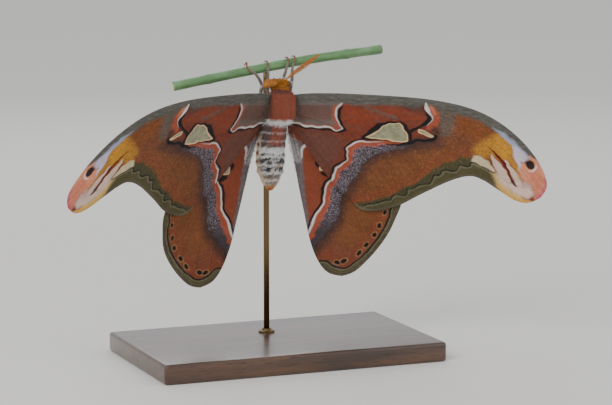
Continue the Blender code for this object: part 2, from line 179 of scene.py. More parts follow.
# Washes, laid in this order: paint, softness of its edge, strength, then an area's corners, or a line's
# points and its half width, or half widths
FORE_MIDDLE_WASHES = [
    ("bright", 5.0, 0.9, [
        (27, -12), (46, -12), (66, -12), (68, -5), (57, -7), (45, -5), (34, 2), (28, 1), (25, -6),
    ]),
]
FORE_ROOT_WASHES = [
    ("purple", 9.0, 0.85, [(-4, 2), (20, 3), (27, 9), (24, 18), (16, 29), (4, 10)]),
    ("costal", 2.0, 0.6, [(39.1, -12.1), (46, -9.6), (53.1, -7.0)], 0.9),
]
FORE_OUTER_WASHES = [
    ("apex_orange", 8.0, 0.95, [(82, -10), (91, -9), (102, -2), (99, 5), (92, 4), (86, 0), (81, -4)]),
    ("ochre", 5.0, 1.0, [
        (104.0, -1.6), (107, 1.2), (110.8, 5), (112, 11), (113, 17), (109, 16), (104, 14), (100, 14),
        (97.5, 15), (94.5, 13.0), (91.4, 10.2), (91.8, 8.6), (96.6, 4.2), (102.0, 0.4),
    ]),
    ("gold", 5.0, 0.75, [
        (105.0, 0.4), (108.6, 3.4), (110.6, 8.1), (111.6, 15.0), (107.1, 14.6), (103.4, 10.4), (100.1, 6.0),
    ]),
    (
        "ochre", 1.0, 1.0,
        [(110.3, 13.0), (112.3, 17.2), (113.8, 20.6), (115.2, 24.0), (116.4, 27.2)],
        [1.3, 1.0, 0.8, 0.6, 0.2],
    ),
]
FORE_CRESCENT_WASHES = [
    ("costal", 4.5, 0.75, [(78.5, -13), (79, -6), (78, 0)], [5.25, 4.05, 2.65]),
    ("brick", 0.9, 1.0, FORE_CRESCENT_RED),
    ("salmon", 1.6, 0.6, [(70.4, -14.6), (72.0, -12.4), (73.0, -10.0)], [0.7, 0.8, 0.3]),
    ("dark", 2.4, 0.85, [(72.6, -1.6), (74.2, 0.6), (72.8, 3.4)], 1.5),
    ("dark", 3.4, 0.85, [(48, 9.6), (55, 9.4), (60, 7.8), (65, 6.2), (72, 5.2)], [1.8, 2.3, 2.7, 2.5, 1.9]),
]
FORE_APEX_WASHES = [
    ("salmon", 1.4, 1.0, [(118.0, 13.6), (120.4, 11.4), (126, 16), (130, 26), (126, 26), (121.4, 19.0)]),
    ("costal", 1.0, 1.0, [(119.4, 9.0), (122.4, 12.4), (124.6, 15.6)], [0.9, 0.6, 0.1]),
    ("cream", 0.9, 1.0, [
        (91.2, 15.0), (92.6, 13.0), (95.2, 12.9), (99.6, 16.2), (102.8, 20.8), (103.2, 22.8), (99.2, 21.0),
        (94.2, 18.0), (91.5, 16.6),
    ]),
    ("yellow_rim", 3.4, 0.92, [
        (101.6, 22.4), (103.2, 22.8), (105.4, 25.6), (109, 29.4), (113.4, 33.4), (118, 37.4), (121, 42),
        (113, 42), (107.0, 34.6), (103.0, 27.6),
    ]),
    ("rose_cream", 1.8, 1.0, [
        (103.6, 22.6), (107.4, 26.4), (110.6, 28.4), (114, 31.0), (120, 31), (122.4, 35), (119.6, 37.2),
        (114.8, 35.4), (110, 31.8), (105.4, 27),
    ]),
    ("amber", 1.8, 0.95, [(104.5, 30.5), (108.5, 34.8), (113.6, 38.6), (121.6, 40.4)], [0.3, 1.0, 1.5, 1.6]),
    ("salmon", 1.8, 1.0, [
        (113.6, 15.6), (118, 16.4), (124, 17), (126.4, 22), (124, 29), (118, 28.4), (115.6, 24),
    ]),
    ("coral", 3.4, 1.0, [(120, 21.8), (124.6, 20), (130, 27), (130, 36), (123, 38), (121.0, 31)]),
    (
        "magenta", 1.6, 0.9, [(128.4, 24.8), (129.4, 29.0), (127.4, 34.2), (124.2, 38.0)],
        [0.8, 1.5, 1.8, 1.2],
    ),
    ("pinkish", 2.8, 0.7, [
        (112.6, 26), (117.0, 27.6), (121.0, 29), (122.6, 34.4), (119.8, 36.6), (115.8, 34.0), (112.4, 30.6),
    ]),
]
FORE_LILAC_WASHES = [
    ("lilac", 1.5, 0.9, [
        (101.6, -3.6), (107.5, -0.4), (113, 4.4), (117.5, 9.4), (120.6, 13.6), (118.4, 14.4), (115.0, 10.6),
        (111.2, 6.4), (107.2, 2.2),
    ]),
    ("pale_lilac", 1.3, 0.95, [
        (111.2, 6.4), (114.2, 7.4), (117.4, 10.8), (119.2, 14.2), (117.0, 16.0), (115.4, 15.0),
        (115.8, 18.4), (115.0, 20.4), (113.4, 16.0), (112.0, 11.4),
    ]),
]
# Marks with a crisp edge: lines with half widths, and areas
FORE_BLACK_LINES = [
    (
        [(26.6, -12.4), (25.1, -10.0), (24.6, -6.4), (25.2, -3.4), (26.4, -0.4), (27.2, 2.0), (24.0, 3.2)],
        [0.3, 0.7, 0.8, 0.8, 0.6, 0.7, 0.6],
    ),
    (
        [(22.6, 3.0), (19.1, 2.1), (14.9, 2.2), (8.5, 2.1), (6.4, 1.8), (1.0, 0.8), (-3.0, 0.6)],
        [0.5, 0.5, 0.45, 0.4, 0.45, 0.4, 0.3],
    ),
    (
        [
            (67.0, -13.9), (68.6, -11.2), (69.9, -8.6), (70.1, -6.8), (68.6, -5.0), (66.8, -3.6),
            (64.6, -1.9), (61.6, -0.2), (60.2, 1.2),
        ],
        [0.2, 0.5, 0.9, 1.3, 1.1, 0.6, 0.7, 0.9, 0.6],
    ),
    (
        [(36.2, 6.2), (39.2, 3.3), (42.6, 0.6), (45.2, -2.0), (48.2, -3.6), (53.2, -4.4), (56.4, -4.6)],
        [0.5, 1.2, 1.6, 1.4, 0.7, 0.6, 0.4],
    ),
    ([(56.4, -4.4), (58.6, -1.4), (60.4, 2.2), (60.6, 5.6)], [0.5, 0.8, 0.9, 0.6]),
    ([(36.5, 6.2), (42.9, 6.2), (48.4, 6.3)], [0.5, 0.45, 0.1]),
    (
        [(47.6, 9.0), (50.3, 8.6), (54.8, 8.7), (59.6, 7.3), (64.5, 5.6), (70.9, 4.9), (73.4, 2.6)],
        [0.1, 0.5, 0.6, 0.9, 0.7, 0.8, 0.6],
    ),
    (FORE_WAVE, 0.30),
    ([(111.2, 26.6), (112.4, 28.8), (113.9, 30.4)], [0.3, 0.6, 0.45]),
]
FORE_WHITE_LINES = [
    (
        FORE_BASAL_EDGE,
        [0.15, 0.28, 0.36, 0.4, 0.36, 0.3, 0.25, 0.3, 0.34, 0.42, 0.5, 0.5, 0.55, 0.45, 0.5, 0.6],
    ),
    (FORE_CRESCENT, [0.6, 1.0, 0.6, 0.4, 0.25, 0.2, 0.0]),
    (FORE_POST_WHITE, [0.0, 0.15, 0.25, 0.45, 0.45, 0.35, 0.25, 0.25, 0.32, 0.3, 0.4, 0.55, 0.65]),
    ([(119.4, 20.9), (121.4, 21.3), (123.1, 19.6), (123.5, 17.0)], [0.1, 0.5, 0.5, 0.1]),
]
FORE_RED_STREAK = [
    (98.4, 6.8), (100.2, 8.1), (102.9, 11.3), (105.6, 14.4), (107.9, 17.8), (109.6, 21.3), (110.9, 25.6),
]
FORE_RED_STREAK_HALVES = [0.1, 0.2, 0.5, 0.6, 0.6, 0.5, 0.3]
FORE_PALE_MARKS = [
    ([
        (100.9, 11.6), (103.2, 14.4), (105.9, 17.4), (108.3, 21.2), (110.2, 24.8), (111.0, 28.3),
        (109.0, 27.8), (106.0, 25.3), (103.9, 22.2), (102.4, 18.5), (101.0, 14.7),
    ],),
    ([
        (107.7, 14.6), (110.3, 17.3), (112.3, 20.3), (114.3, 23.7), (116.1, 28.0), (116.8, 30.3),
        (115.1, 30.4), (113.0, 27.4), (111.0, 23.2), (108.9, 19.3), (107.6, 16.7),
    ],),
]

# Lines of the hindwing's pattern
HIND_POST = [
    (46.0, 12.0), (37.0, 17.0), (28.0, 24.5), (21.0, 30.5), (18.0, 34.2), (15.9, 38.6), (15.4, 45.8),
    (11.4, 51.8), (9.2, 57.2), (7.0, 63.0),
]
HIND_BAND_END = [
    (54.0, 26.0), (43.0, 30.0), (33.0, 35.0), (27.0, 39.5), (25.0, 44.3), (24.0, 50.5), (22.4, 57.0),
    (18.0, 62.6), (13.4, 67.4), (10.4, 72.0),
]
HIND_PANE = [(15.4, 21.6), (22.4, 25.6), (21.6, 26.6), (13.6, 27.5), (13.3, 26.6)]
HIND_GREY_EDGE = [(4.9, 11.0), (4.9, 20.0), (5.4, 34.2), (6.6, 48.0), (8.1, 60.1)]
HIND_INNER_MARGIN = [(-3.0, 8.0), (-1.0, 18.0), (1.4, 34.0), (4.4, 50.0), (7.4, 64.0)]
HIND_OUTER_MARGIN = [
    (57.0, 30.0), (56.6, 42.0), (52.6, 54.8), (47.6, 66.0), (40.4, 76.6), (31.6, 84.8), (24.5, 86.8),
    (17.2, 83.8), (14.4, 80.6),
]
HIND_SPOTS = [
    (50.3, 38.0, 99.0), (48.9, 43.6, 104.0), (46.6, 50.4, 109.0), (43.6, 58.6, 114.0), (40.8, 64.6, 118.0),
    (36.6, 70.6, 127.0), (33.0, 74.6, 134.0), (25.4, 78.0, 168.0), (21.8, 78.4, 190.0),
]
HIND_BAND_AREA = HIND_POST + HIND_BAND_END[::-1]
HIND_OUTER_AREA = HIND_BAND_END + [(4, 74), (14, 96), (60, 96), (64, 26)]
HIND_ROOT_AREA = [(-4, -8), (30, -6), (44, 10), (26, 20), (8, 12)]
HIND_BLACK_LINES = [
    ([(14.6, 21.4), (13.2, 22.8), (12.6, 25.0)], [1.1, 1.6, 0.6]),
    ([(15.2, 29.4), (19.2, 28.8), (21.6, 27.6)], [1.0, 1.6, 0.6]),
]
HIND_WHITE_LINES = [
    (HIND_POST, [0.35, 0.35, 0.35, 0.35, 0.4, 0.42, 0.42, 0.55, 0.7, 0.3]),
    ([(6.6, 12.8), (5.0, 15.4), (4.2, 21.0)], [0.6, 0.7, 0.1]),
]
# How far the marks' edges wander, and a value that says a wing has none of a mark
EDGE_WANDER = 0.28
FAR_AWAY = 9.0

# Parts of the body
EYE_CENTRE = Vector((4.9, 4.6, 9.6))
EYE_RADIUS = 1.75
PALP_CENTRE = (1.5, 7.4, 11.2)
SEGMENT_LENGTH = 4.15
ABDOMEN_LINE = [
    (-0.9, 4.8, -9.6), (-2.0, 6.6, -18.0), (-1.9, 8.2, -28.0), (-1.5, 8.8, -37.0), (-1.5, 8.6, -44.8),
]
LEG_LINES = {
    "fore_leg_left": [
        (-3.0, 8.6, 3.0), (-4.2, 9.8, 6.2), (-4.6, 8.9, 10.4), (-4.8, 7.9, 16.6), (-5.0, 9.0, 20.6),
        (-5.0, 12.5, 20.3),
    ],
    "fore_leg_right": [
        (3.0, 8.6, 3.0), (4.0, 9.9, 6.6), (4.2, 9.2, 12.0), (5.4, 7.9, 18.4), (6.0, 9.0, 22.5),
        (6.0, 12.5, 22.3),
    ],
    "mid_leg_left": [
        (-4.6, 8.4, -0.8), (-7.4, 10.6, 2.8), (-7.0, 9.9, 8.2), (-12.4, 7.8, 15.2), (-15.8, 9.0, 19.9),
        (-15.8, 12.5, 18.5),
    ],
    "mid_leg_right": [
        (4.6, 8.4, -0.8), (7.6, 10.2, 3.4), (8.6, 8.9, 9.6), (8.4, 7.8, 18.0), (9.7, 9.0, 23.2),
        (9.7, 12.5, 23.0),
    ],
    "hind_leg_left": [
        (-3.4, 8.8, -4.6), (-6.4, 13.4, -3.0), (-7.8, 16.2, -6.4), (-7.2, 18.2, -15.4), (-6.9, 18.2, -22.2),
    ],
    "hind_leg_right": [
        (3.4, 8.8, -4.6), (6.4, 13.4, -3.0), (7.8, 16.2, -6.4), (7.2, 18.2, -15.4), (6.9, 18.2, -22.2),
    ],
}
ANTENNAE = {
    "right": (
        [(2.6, 1.8, 12.2), (6.7, -0.7, 16.2), (12.5, -2.5, 20.8), (18.3, -3.3, 25.3)], (0.0, 0.9, 0.4)
    ),
    "left": (
        [(-2.2, -0.4, 12.0), (-3.9, -2.1, 11.5), (-6.2, -1.3, 10.8), (-7.7, 2.0, 10.1), (-8.0, 6.0, 9.0)],
        (0.2, 0.0, 1.0),
    ),
}
STEM_LINE = [
    (-54.0, 11.3, 7.8), (-20.0, 11.6, 14.4), (0.0, 11.5, 18.2), (22.0, 11.3, 22.0), (58.0, 10.7, 26.8),
]
STEM_RADIUS = 2.45
ROD_RADIUS = 1.5

# The camera: how far it stands, the way it looks, and where the thorax lands from the picture's centre
CAMERA_DISTANCE = 1200.0
CAMERA_AZIMUTH = math.radians(-21.5)
CAMERA_HEIGHT = math.radians(6.0)
CAMERA_AIM_RIGHT = 12.15
CAMERA_AIM_DOWN = 49.25
PICTURE_WIDTH = 306.0
SENSOR_WIDTH = 36.0
LIGHTS_AIM = (0.0, 0.0, 0.09)

# Colours of scales, fur and skin, as the eye sees them
PAINTS = {
    "median": "74382a", "purple": "68453c", "bright": "883e2a", "costal": "5a5a54", "basal": "6a605a",
    "brick": "a2503a", "dust_dark": "463d41", "dark": "43332f", "outer": "75462e",
    "orange": "80502a", "apex_orange": "824a27", "ochre": "b8812f", "khaki": "484630", "olive": "524d33",
    "edge": "5c5546", "cream": "cdbb96", "rose_cream": "dbbfae", "lilac": "a3aac4", "pale_lilac": "cfc2d2",
    "coral": "d27c60", "magenta": "c5506a", "pinkish": "dcb9b2", "yellow_rim": "dcb878", "amber": "dba24a",
    "gold": "cd922c", "dust": "b4a6b2",
    "hind_red": "88432f", "hind_brown": "7a4733", "hind_grey": "70686a", "white": "dedad6", "black": "17191c",
    "ember": "5e1d17", "pane_rim": "d9b98c", "salmon": "d98e6e",
    "head": "b06f1c", "head_dark": "7c4416", "thorax": "9d5540", "thorax_dark": "83473a", "collar": "b9a08e",
    "band": "eceaea", "belly": "b39a86", "abdomen": "9a5848", "slate": "5a5858", "ring": "eeebe8",
    "hem_line": "6d6a52", "side_cream": "ecd9bc", "side_spot": "8c402e", "tip": "c98c56", "leg": "9c9184",
    "foot": "a2644c",
}
WING_FIELDS = ("dust", "speckle", "black_marks", "white_marks", "red_streak", "pale_marks", "window", "vein")
VALUE_FIELDS = {"FLOAT": "value", "FLOAT2": "vector", "FLOAT_VECTOR": "vector", "FLOAT_COLOR": "color"}
FLESH_INSETS = {"thorax": 0.85, "head": 0.60, "abdomen": 0.42, **dict.fromkeys(LEG_LINES, 0.14)}
# Coat, its slot, its tuft, then spacing and width as shares of the coat's own, lift (degrees), disorder
COATS = (
    ("head_fur", "body_fur", "full", 0.50, 0.62, 24.0, 0.22),
    ("thorax_fur", "body_fur", "full", 0.72, 0.95, 24.0, 0.24),
    ("abdomen_fur", "abdomen_fur", "full", 0.87, 0.98, 15.0, 0.12),
    ("leg_fur", "leg_fur", "fine", 0.68, 0.60, 18.0, 0.12),
    ("wing_hair", "wing_scales", "fine", 0.62, 1.0, 8.0, 0.14),
)


def linear(code):
    """An sRGB hex colour as linear red, green and blue."""
    parts = [int(code[i : i + 2], 16) / 255.0 for i in (0, 2, 4)]
    return tuple(p / 12.92 if p <= 0.04045 else ((p + 0.055) / 1.055) ** 2.4 for p in parts)


def rgba(code):
    return (*linear(code), 1.0)


def paint(name):
    return np.array(linear(PAINTS[name]))


def to_row(points):
    """Places in the moth's frame, in millimetres, as places in the model, in metres."""
    turn = np.array(POSE.to_3x3())
    return np.asarray(points) * MM @ turn.T + np.array(POSE.translation)


def to_moth(points):
    turn = np.array(POSE.to_3x3())
    return (np.asarray(points) - np.array(POSE.translation)) @ turn / MM


def turn_to_row(vectors):
    return np.asarray(vectors) @ np.array(POSE.to_3x3()).T


def node(tree, kind, settings=None, **links):
    """Adds a node. settings are its own values, and links its inputs: a socket, a node or a value."""
    made = tree.nodes.new(kind)
    for key, value in (settings or {}).items():
        setattr(made, key, value)
    for key, value in links.items():
        if key[1:].isdigit():
            socket = made.inputs[int(key[1:])]
        else:
            name = key.replace("_", " ").lower()
            socket = next(s for s in made.inputs if s.enabled and s.name.lower() == name)
        if isinstance(value, bpy.types.Node):
            value = next(s for s in value.outputs if s.enabled)
        if isinstance(value, bpy.types.NodeSocket):
            tree.links.new(value, socket)
        else:
            socket.default_value = value
    return made


def new_material(name, values):
    """A material with its shader's own values by name, its node tree and that shader."""
    made = bpy.data.materials.new(name)
    made.use_nodes = True
    shader = made.node_tree.nodes["Principled BSDF"]
    for key, value in values.items():
        shader.inputs[key].default_value = value
    return made, made.node_tree, shader


def shade_with(tree, shader, **results):
    """Links nodes' results to the shader's inputs, by name."""
    for key, result in results.items():
        socket = next(s for s in result.outputs if s.enabled)
        tree.links.new(socket, shader.inputs[key.replace("_", " ")])


# Curves and fields, in millimetres


def smooth_path(points, steps):
    """Points on a Catmull-Rom curve through the given ones."""
    given = np.array(points, float)
    last = len(given) - 1
    path = []
    for i in range(last):
        a, b, c, d = given[max(i - 1, 0)], given[i], given[i + 1], given[min(i + 2, last)]
        for step in range(steps):
            t = step / steps
            square, cube = 2 * a - 5 * b + 4 * c - d, 3 * b - a - 3 * c + d
            path.append(0.5 * (2 * b + (c - a) * t + square * t**2 + cube * t**3))
    path.append(given[-1])
    return np.array(path)


def evenly(points, count, share=1.0):
    """count places spaced evenly along a path, over the given share of its length."""
    path = smooth_path(points, 12)
    steps = np.r_[0.0, np.cumsum(np.linalg.norm(np.diff(path, axis=0), axis=1))]
    at = np.linspace(0.0, steps[-1] * share, count)
    return np.stack([np.interp(at, steps, path[:, k]) for k in range(path.shape[1])], axis=1)


def ease(low, high, value):
    """Zero below low and one above high, with a smooth rise between."""
    t = np.clip((value - low) / (high - low), 0.0, 1.0)
    return t * t * (3.0 - 2.0 * t)


def line_field(places, line, half=0.0, steps=4):
    """Distance to the edge of a line that is 2 * half wide, or has a half width for each of its points."""
    halves = np.full(len(line), half, float) if np.isscalar(half) else np.array(half, float)
    path = smooth_path(np.column_stack([np.array(line, float), halves]), steps)
    best = np.full(len(places), 1e9)
    for start, end in zip(path, path[1:]):
        span = end[:-1] - start[:-1]
        t = np.clip((places - start[:-1]) @ span / max(span @ span, 1e-9), 0.0, 1.0)
        gap = np.linalg.norm(places - start[:-1] - t[:, None] * span, axis=1)
        best = np.minimum(best, gap - (start[-1] + (end[-1] - start[-1]) * t))
    return best


def area_field(places, corners):
    """Distance to an outline's edge, negative inside it."""
    ring = np.array(list(corners) + [corners[0]], float)
    inside = np.zeros(len(places), bool)
    u, v = places.T
    for (u0, v0), (u1, v1) in zip(ring, ring[1:]):
        crosses = (v0 > v) != (v1 > v)
        inside ^= crosses & (u < (u1 - u0) * (v - v0) / (v1 - v0 + 1e-12) + u0)
    away = line_field(places, ring, 0.0, 1)
    return np.where(inside, -away, away)


def spot_field(places, centre, long_half, short_half, turn=0.0):
    """Distance to an oval's edge, roughly, negative inside it. turn is in degrees."""
    a = math.radians(turn)
    away = places - np.array(centre)
    x = away @ np.array((math.cos(a), math.sin(a))) / long_half
    y = away @ np.array((-math.sin(a), math.cos(a))) / short_half
    return (np.sqrt(x * x + y * y) - 1.0) * min(long_half, short_half)


def beside(line, offset):
    """A line moved sideways by offset."""
    path = smooth_path(line, 2)
    ahead = np.gradient(path, axis=0)
    ahead /= np.linalg.norm(ahead, axis=1)[:, None]
    return path + offset * np.column_stack([-ahead[:, 1], ahead[:, 0]])


def ripple(places, size, seed):
    """A smooth random field between about -1 and 1, whose bumps are size mm apart."""
    rng = np.random.default_rng(seed)
    total = np.zeros(len(places))
    for _ in range(7):
        way = rng.normal(size=places.shape[1])
        way /= np.linalg.norm(way)
        total += np.sin(places @ way * 2 * math.pi / (size * rng.uniform(0.7, 1.6)) + rng.uniform(0, 6.3))
    return total / 3.0


# Wings


def wing_surface(flat, side, hind):
    """The middle surface of a wing, in the moth's frame, for places on its flat drawing."""
    rise, tilt = WING_RAISE, WING_TILT
    out = np.array((math.cos(rise), -math.sin(rise), 0.0))
    back = np.array((math.sin(rise) * math.sin(tilt), math.cos(rise) * math.sin(tilt), -math.cos(tilt)))
    up = np.cross(back, out)
    u, v = flat.T
    lift = np.zeros(len(flat))
    if hind:
        drop = HIND_DROP[side]
        u, v = u * math.cos(drop) - v * math.sin(drop), u * math.sin(drop) + v * math.cos(drop)
        hem = FOREWING_TORNUS / np.linalg.norm(FOREWING_TORNUS)
        beyond = (v * hem[0] - u * hem[1]) - HIND_CURL_START
        lift = -HIND_LAYER + HIND_CURL * HIND_CURL_SOFTNESS * np.log1p(np.exp(beyond / HIND_CURL_SOFTNESS))
    lift = lift + WING_CAMBER * np.sin(math.pi * np.clip(u / WING_SPAN, 0.0, 1.0))
    return WING_ROOT + u[:, None] * out + v[:, None] * back + lift[:, None] * up


def blend_in(colours, name, weight):
    """Lays a paint over the colours, as strongly as weight says at each place."""
    w = np.clip(weight, 0.0, 1.0)[:, None]
    return colours * (1.0 - w) + paint(name) * w


def wash(colours, name, field, soft, strength=1.0):
    """Lays a paint inside a field, with an edge soft mm wide."""
    return blend_in(colours, name, strength * (1.0 - ease(-soft / 2, soft / 2, field)))


def between(field, low, high, soft):
    return ease(low - soft, low, field) * (1.0 - ease(high, high + soft, field))


def mottled(colours, p, names, size, strength, seed):
    """Breaks the ground up with darker and brighter clouds, as worn scales do."""
    cloud = ripple(p, size, seed) + 0.6 * ripple(p, size * 0.45, seed + 1)
    colours = blend_in(colours, names[0], strength * ease(0.2, 1.5, cloud))
    return blend_in(colours, names[1], strength * ease(0.2, 1.5, -cloud))


def shape_field(places, points, halves=None):
    """Distance to the edge of an area, from its corners, or of a line, from its points and half widths."""
    if halves is None:
        return area_field(places, points)
    return line_field(places, points, halves)


def nearest(places, shapes):
    """Distance to the nearest edge of several shapes."""
    return np.minimum.reduce([shape_field(places, *shape) for shape in shapes])


def lay(colours, places, washes):
    """Lays washes in turn: each is a paint, the softness of its edge, its strength and its shape."""
    for name, soft, strength, *shape in washes:
        colours = wash(colours, name, shape_field(places, *shape), soft, strength)
    return colours


def band_share(places, start, end, seed):
    """How far across the band between two lines each place lies, from 0 to 1, with uneven edges."""
    from_start = line_field(places, start)
    share = from_start / (from_start + line_field(places, end) + 1e-6)
    return share + 0.05 * ripple(places, 4.0, seed)


def forewing_ground(colours, q, beyond):
    """Red near the root, and beyond the band brown, then orange and ochre towards the apex."""
    u, v = q.T
    colours = lay(colours, q, FORE_MIDDLE_WASHES)
    streaks = ease(0.0, 0.8, ripple(q * (0.16, 1.4), 3.0, 31))
    colours = blend_in(colours, "purple", 0.5 * streaks * (v < 3) * (u > 26))
    colours = lay(colours, q, FORE_ROOT_WASHES)
    colours = wash(colours, "outer", beyond, 1.5)
    from_hem = line_field(q, FORE_HEM_START)
    toward_hem = ease(27.0, 5.0, from_hem) * ease(30.0, 44.0, u)
    colours = blend_in(colours, "orange", 0.55 * toward_hem * ease(2.0, 12.0, v) * ease(96.0, 84.0, u))
    beside_hem = ease(8.0, 2.0, from_hem) * ease(1.0, 2.0, from_hem)
    colours = blend_in(colours, "hind_red", 0.5 * (beyond < 1) * beside_hem)
    colours = lay(colours, q, FORE_OUTER_WASHES)
    return mottled(colours, q, ("orange", "dark"), 2.6, 0.30, 41)


def forewing_band(colours, q, beyond):
    """The band from the windows to the hem: its colours, and how thickly each place is dusted."""
    u = q[:, 0]
    lower = ease(62.0, 48.0, u)
    band = area_field(q, FORE_BAND_AREA)
    share = band_share(q, FORE_POST, FORE_BAND_END, 51)
    in_band = 1.0 - ease(-0.3, 0.5, band)
    colours = blend_in(colours, "dark", in_band * ease(0.3, 0.6, share) * (1 - 0.55 * ease(58.0, 66.0, u)))
    colours = blend_in(colours, "dust_dark", in_band * lower * between(share, 0.34, 0.74, 0.16))
    colours = blend_in(colours, "brick", in_band * ease(60.0, 50.0, u) * (1 - ease(0.24, 0.40, share)))
    after = ease(5.5, 0.0, line_field(q, FORE_BAND_END)) * ease(-0.2, 0.6, band)
    colours = blend_in(colours, "dark", 0.75 * (1 - in_band) * after * (beyond < 1.0))
    return colours, in_band * lower * between(share, 0.34, 0.80, 0.20)


def forewing_root(colours, q):
    """The grey-brown patch at the root, red beside its white edge."""
    u, v = q.T
    root = area_field(q, FORE_ROOT_AREA)
    edge = line_field(q, FORE_BASAL_EDGE)
    colours = wash(colours, "basal", root, 0.6)
    colours = wash(colours, "purple", line_field(q, [(6, -7), (18, -7.5)], 4.3), 3.0, 0.7 * (root < 0))
    warm = (root < 0) * (1 - ease(1.2, 2.6, edge)) * ease(0.3, 0.7, edge) * ease(-13.6, -12.0, v)
    return blend_in(colours, "brick", warm * (0.35 + 0.6 * ease(19.0, 22.0, u)) * ease(4.0, 8.0, u))


def forewing_front(colours, q, front):
    """The grey front edge, with darker and paler streaks along it."""
    colours = wash(colours, "costal", front, 2.4)
    dark = ease(0.1, 0.9, ripple(q * (0.3, 1.6), 2.4, 4))
    pale = ease(0.2, 0.9, ripple(q * (0.5, 1.2), 2.0, 5))
    colours = blend_in(colours, "dark", 0.28 * (front < 0) * dark)
    colours = blend_in(colours, "rose_cream", 0.06 * (front < 0) * pale)
    return lay(colours, q, [("dark", 2.4, 0.45, [(58, -13.2), (63.4, -12.2), (67, -13.0)], [1.4, 2.2, 1.8])])


def forewing_hem(colours, p, q):
    """The olive hem, with a black wavy line in it and a paler edge."""
    u = q[:, 0]
    hem = area_field(q, FORE_HEM_AREA)
    colours = wash(colours, "khaki", hem, 0.9)
    colours = blend_in(colours, "olive", 0.5 * (hem < 0) * ease(-0.2, 0.8, ripple(q, 1.8, 61)))
    wave = area_field(q, FORE_WAVE_AREA)
    colours = wash(colours, "olive", wave, 0.5)
    colours = blend_in(colours, "hem_line", 0.8 * (wave < 0.2) * between(-wave, 0.3, 1.1, 0.35))
    margin = line_field(p, FOREWING_BACK[4:14])
    colours = blend_in(colours, "edge", ease(2.0, 0.6, margin) * ease(30, 36, u) * ease(108, 101, u))
    return blend_in(colours, "hem_line", 0.7 * ease(1.6, 0.5, margin) * ease(46, 38, u))


def forewing_apex(colours, q):
    """The apex: cream, yellow and salmon, with a lilac bar over the eye spot."""
    u, v = q.T
    colours = lay(colours, q, FORE_APEX_WASHES)
    streaks = ripple(np.column_stack([q @ (0.86, -0.5), q @ (0.05, 0.09)]), 1.7, 71)
    in_apex = ease(113.0, 116.0, u) * ease(18.5, 21.5, v)
    colours = blend_in(colours, "rose_cream", 0.20 * ease(0.0, 1.0, streaks) * in_apex)
    colours = lay(colours, q, FORE_LILAC_WASHES)
    return wash(colours, "dark", spot_field(q, (119.8, 15.6), 1.3, 1.1) - 0.5, 1.8, 0.5)


def forewing_fields(p):
    """Everything that the forewing's colours are made from: fields in mm, and its ground colours."""
    q = p + EDGE_WANDER * np.column_stack([ripple(p, 5.0, 1), ripple(p, 5.0, 2)])
    beyond = area_field(q, FORE_OUTER_AREA)
    front = area_field(q, FORE_FRONT_AREA)
    colours = forewing_ground(np.tile(paint("median"), (len(p), 1)), q, beyond)
    colours = lay(colours, q, FORE_CRESCENT_WASHES)
    colours, dust = forewing_band(colours, q, beyond)
    colours = forewing_root(colours, q)
    colours = forewing_front(colours, q, front)
    colours = forewing_hem(colours, p, q)
    beside_white = beside(FORE_POST_WHITE[2:], 1.0)
    black = [
        nearest(q, FORE_BLACK_LINES),
        line_field(q, beside_white, [0.25] * 4 + [0.5] * (len(beside_white) - 4)),
        spot_field(q, (120.5, 17.4), 2.7, 2.0, 66.0),
    ]
    return {
        "ground": forewing_apex(colours, q),
        "dust": dust,
        "speckle": 0.2 + 0.8 * (1 - ease(-1.0, 1.0, beyond)) * ease(-1.0, 1.0, front),
        "black_marks": np.minimum.reduce(black),
        "white_marks": nearest(q, FORE_WHITE_LINES),
        "red_streak": line_field(q, FORE_RED_STREAK, FORE_RED_STREAK_HALVES),
        "pale_marks": nearest(q, FORE_PALE_MARKS),
        "window": np.minimum(area_field(q, FORE_PANE), area_field(q, FORE_SMALL_PANE) + 0.1),
        "vein": nearest(p, [(vein, 0.0) for vein in FORE_VEINS]),
    }


def hindwing_ground(colours, q, beyond):
    """Red, and beyond the band brown with an orange middle."""
    colours = lay(colours, q, [("purple", 9.0, 0.6, HIND_ROOT_AREA)])
    colours = wash(colours, "hind_brown", beyond, 1.5)
    middle = line_field(q, [(46, 38), (38, 50), (29, 60)], 10.0)
    colours = wash(colours, "orange", middle, 10.0, 0.6 * (beyond < 0))
    return colours


def hindwing_hem(colours, margin, inner, spots):
    """The olive hem inside a row of spots, with yellowish lines along it."""
    colours = blend_in(colours, "yellow_rim", 0.32 * between(spots, 0.0, 0.3, 0.25))
    colours = blend_in(colours, "hem_line", 0.75 * ease(5.9, 5.5, inner) * ease(2.2, 1.2, spots))
    colours = blend_in(colours, "hem_line", ease(4.7, 4.4, inner))
    colours = blend_in(colours, "olive", ease(3.9, 3.5, inner))
    colours = blend_in(colours, "hem_line", 0.55 * ease(3.2, 2.6, margin))
    colours = blend_in(colours, "dark", 0.6 * between(margin, 1.8, 2.2, 0.35))
    return blend_in(colours, "edge", ease(1.6, 1.1, margin))


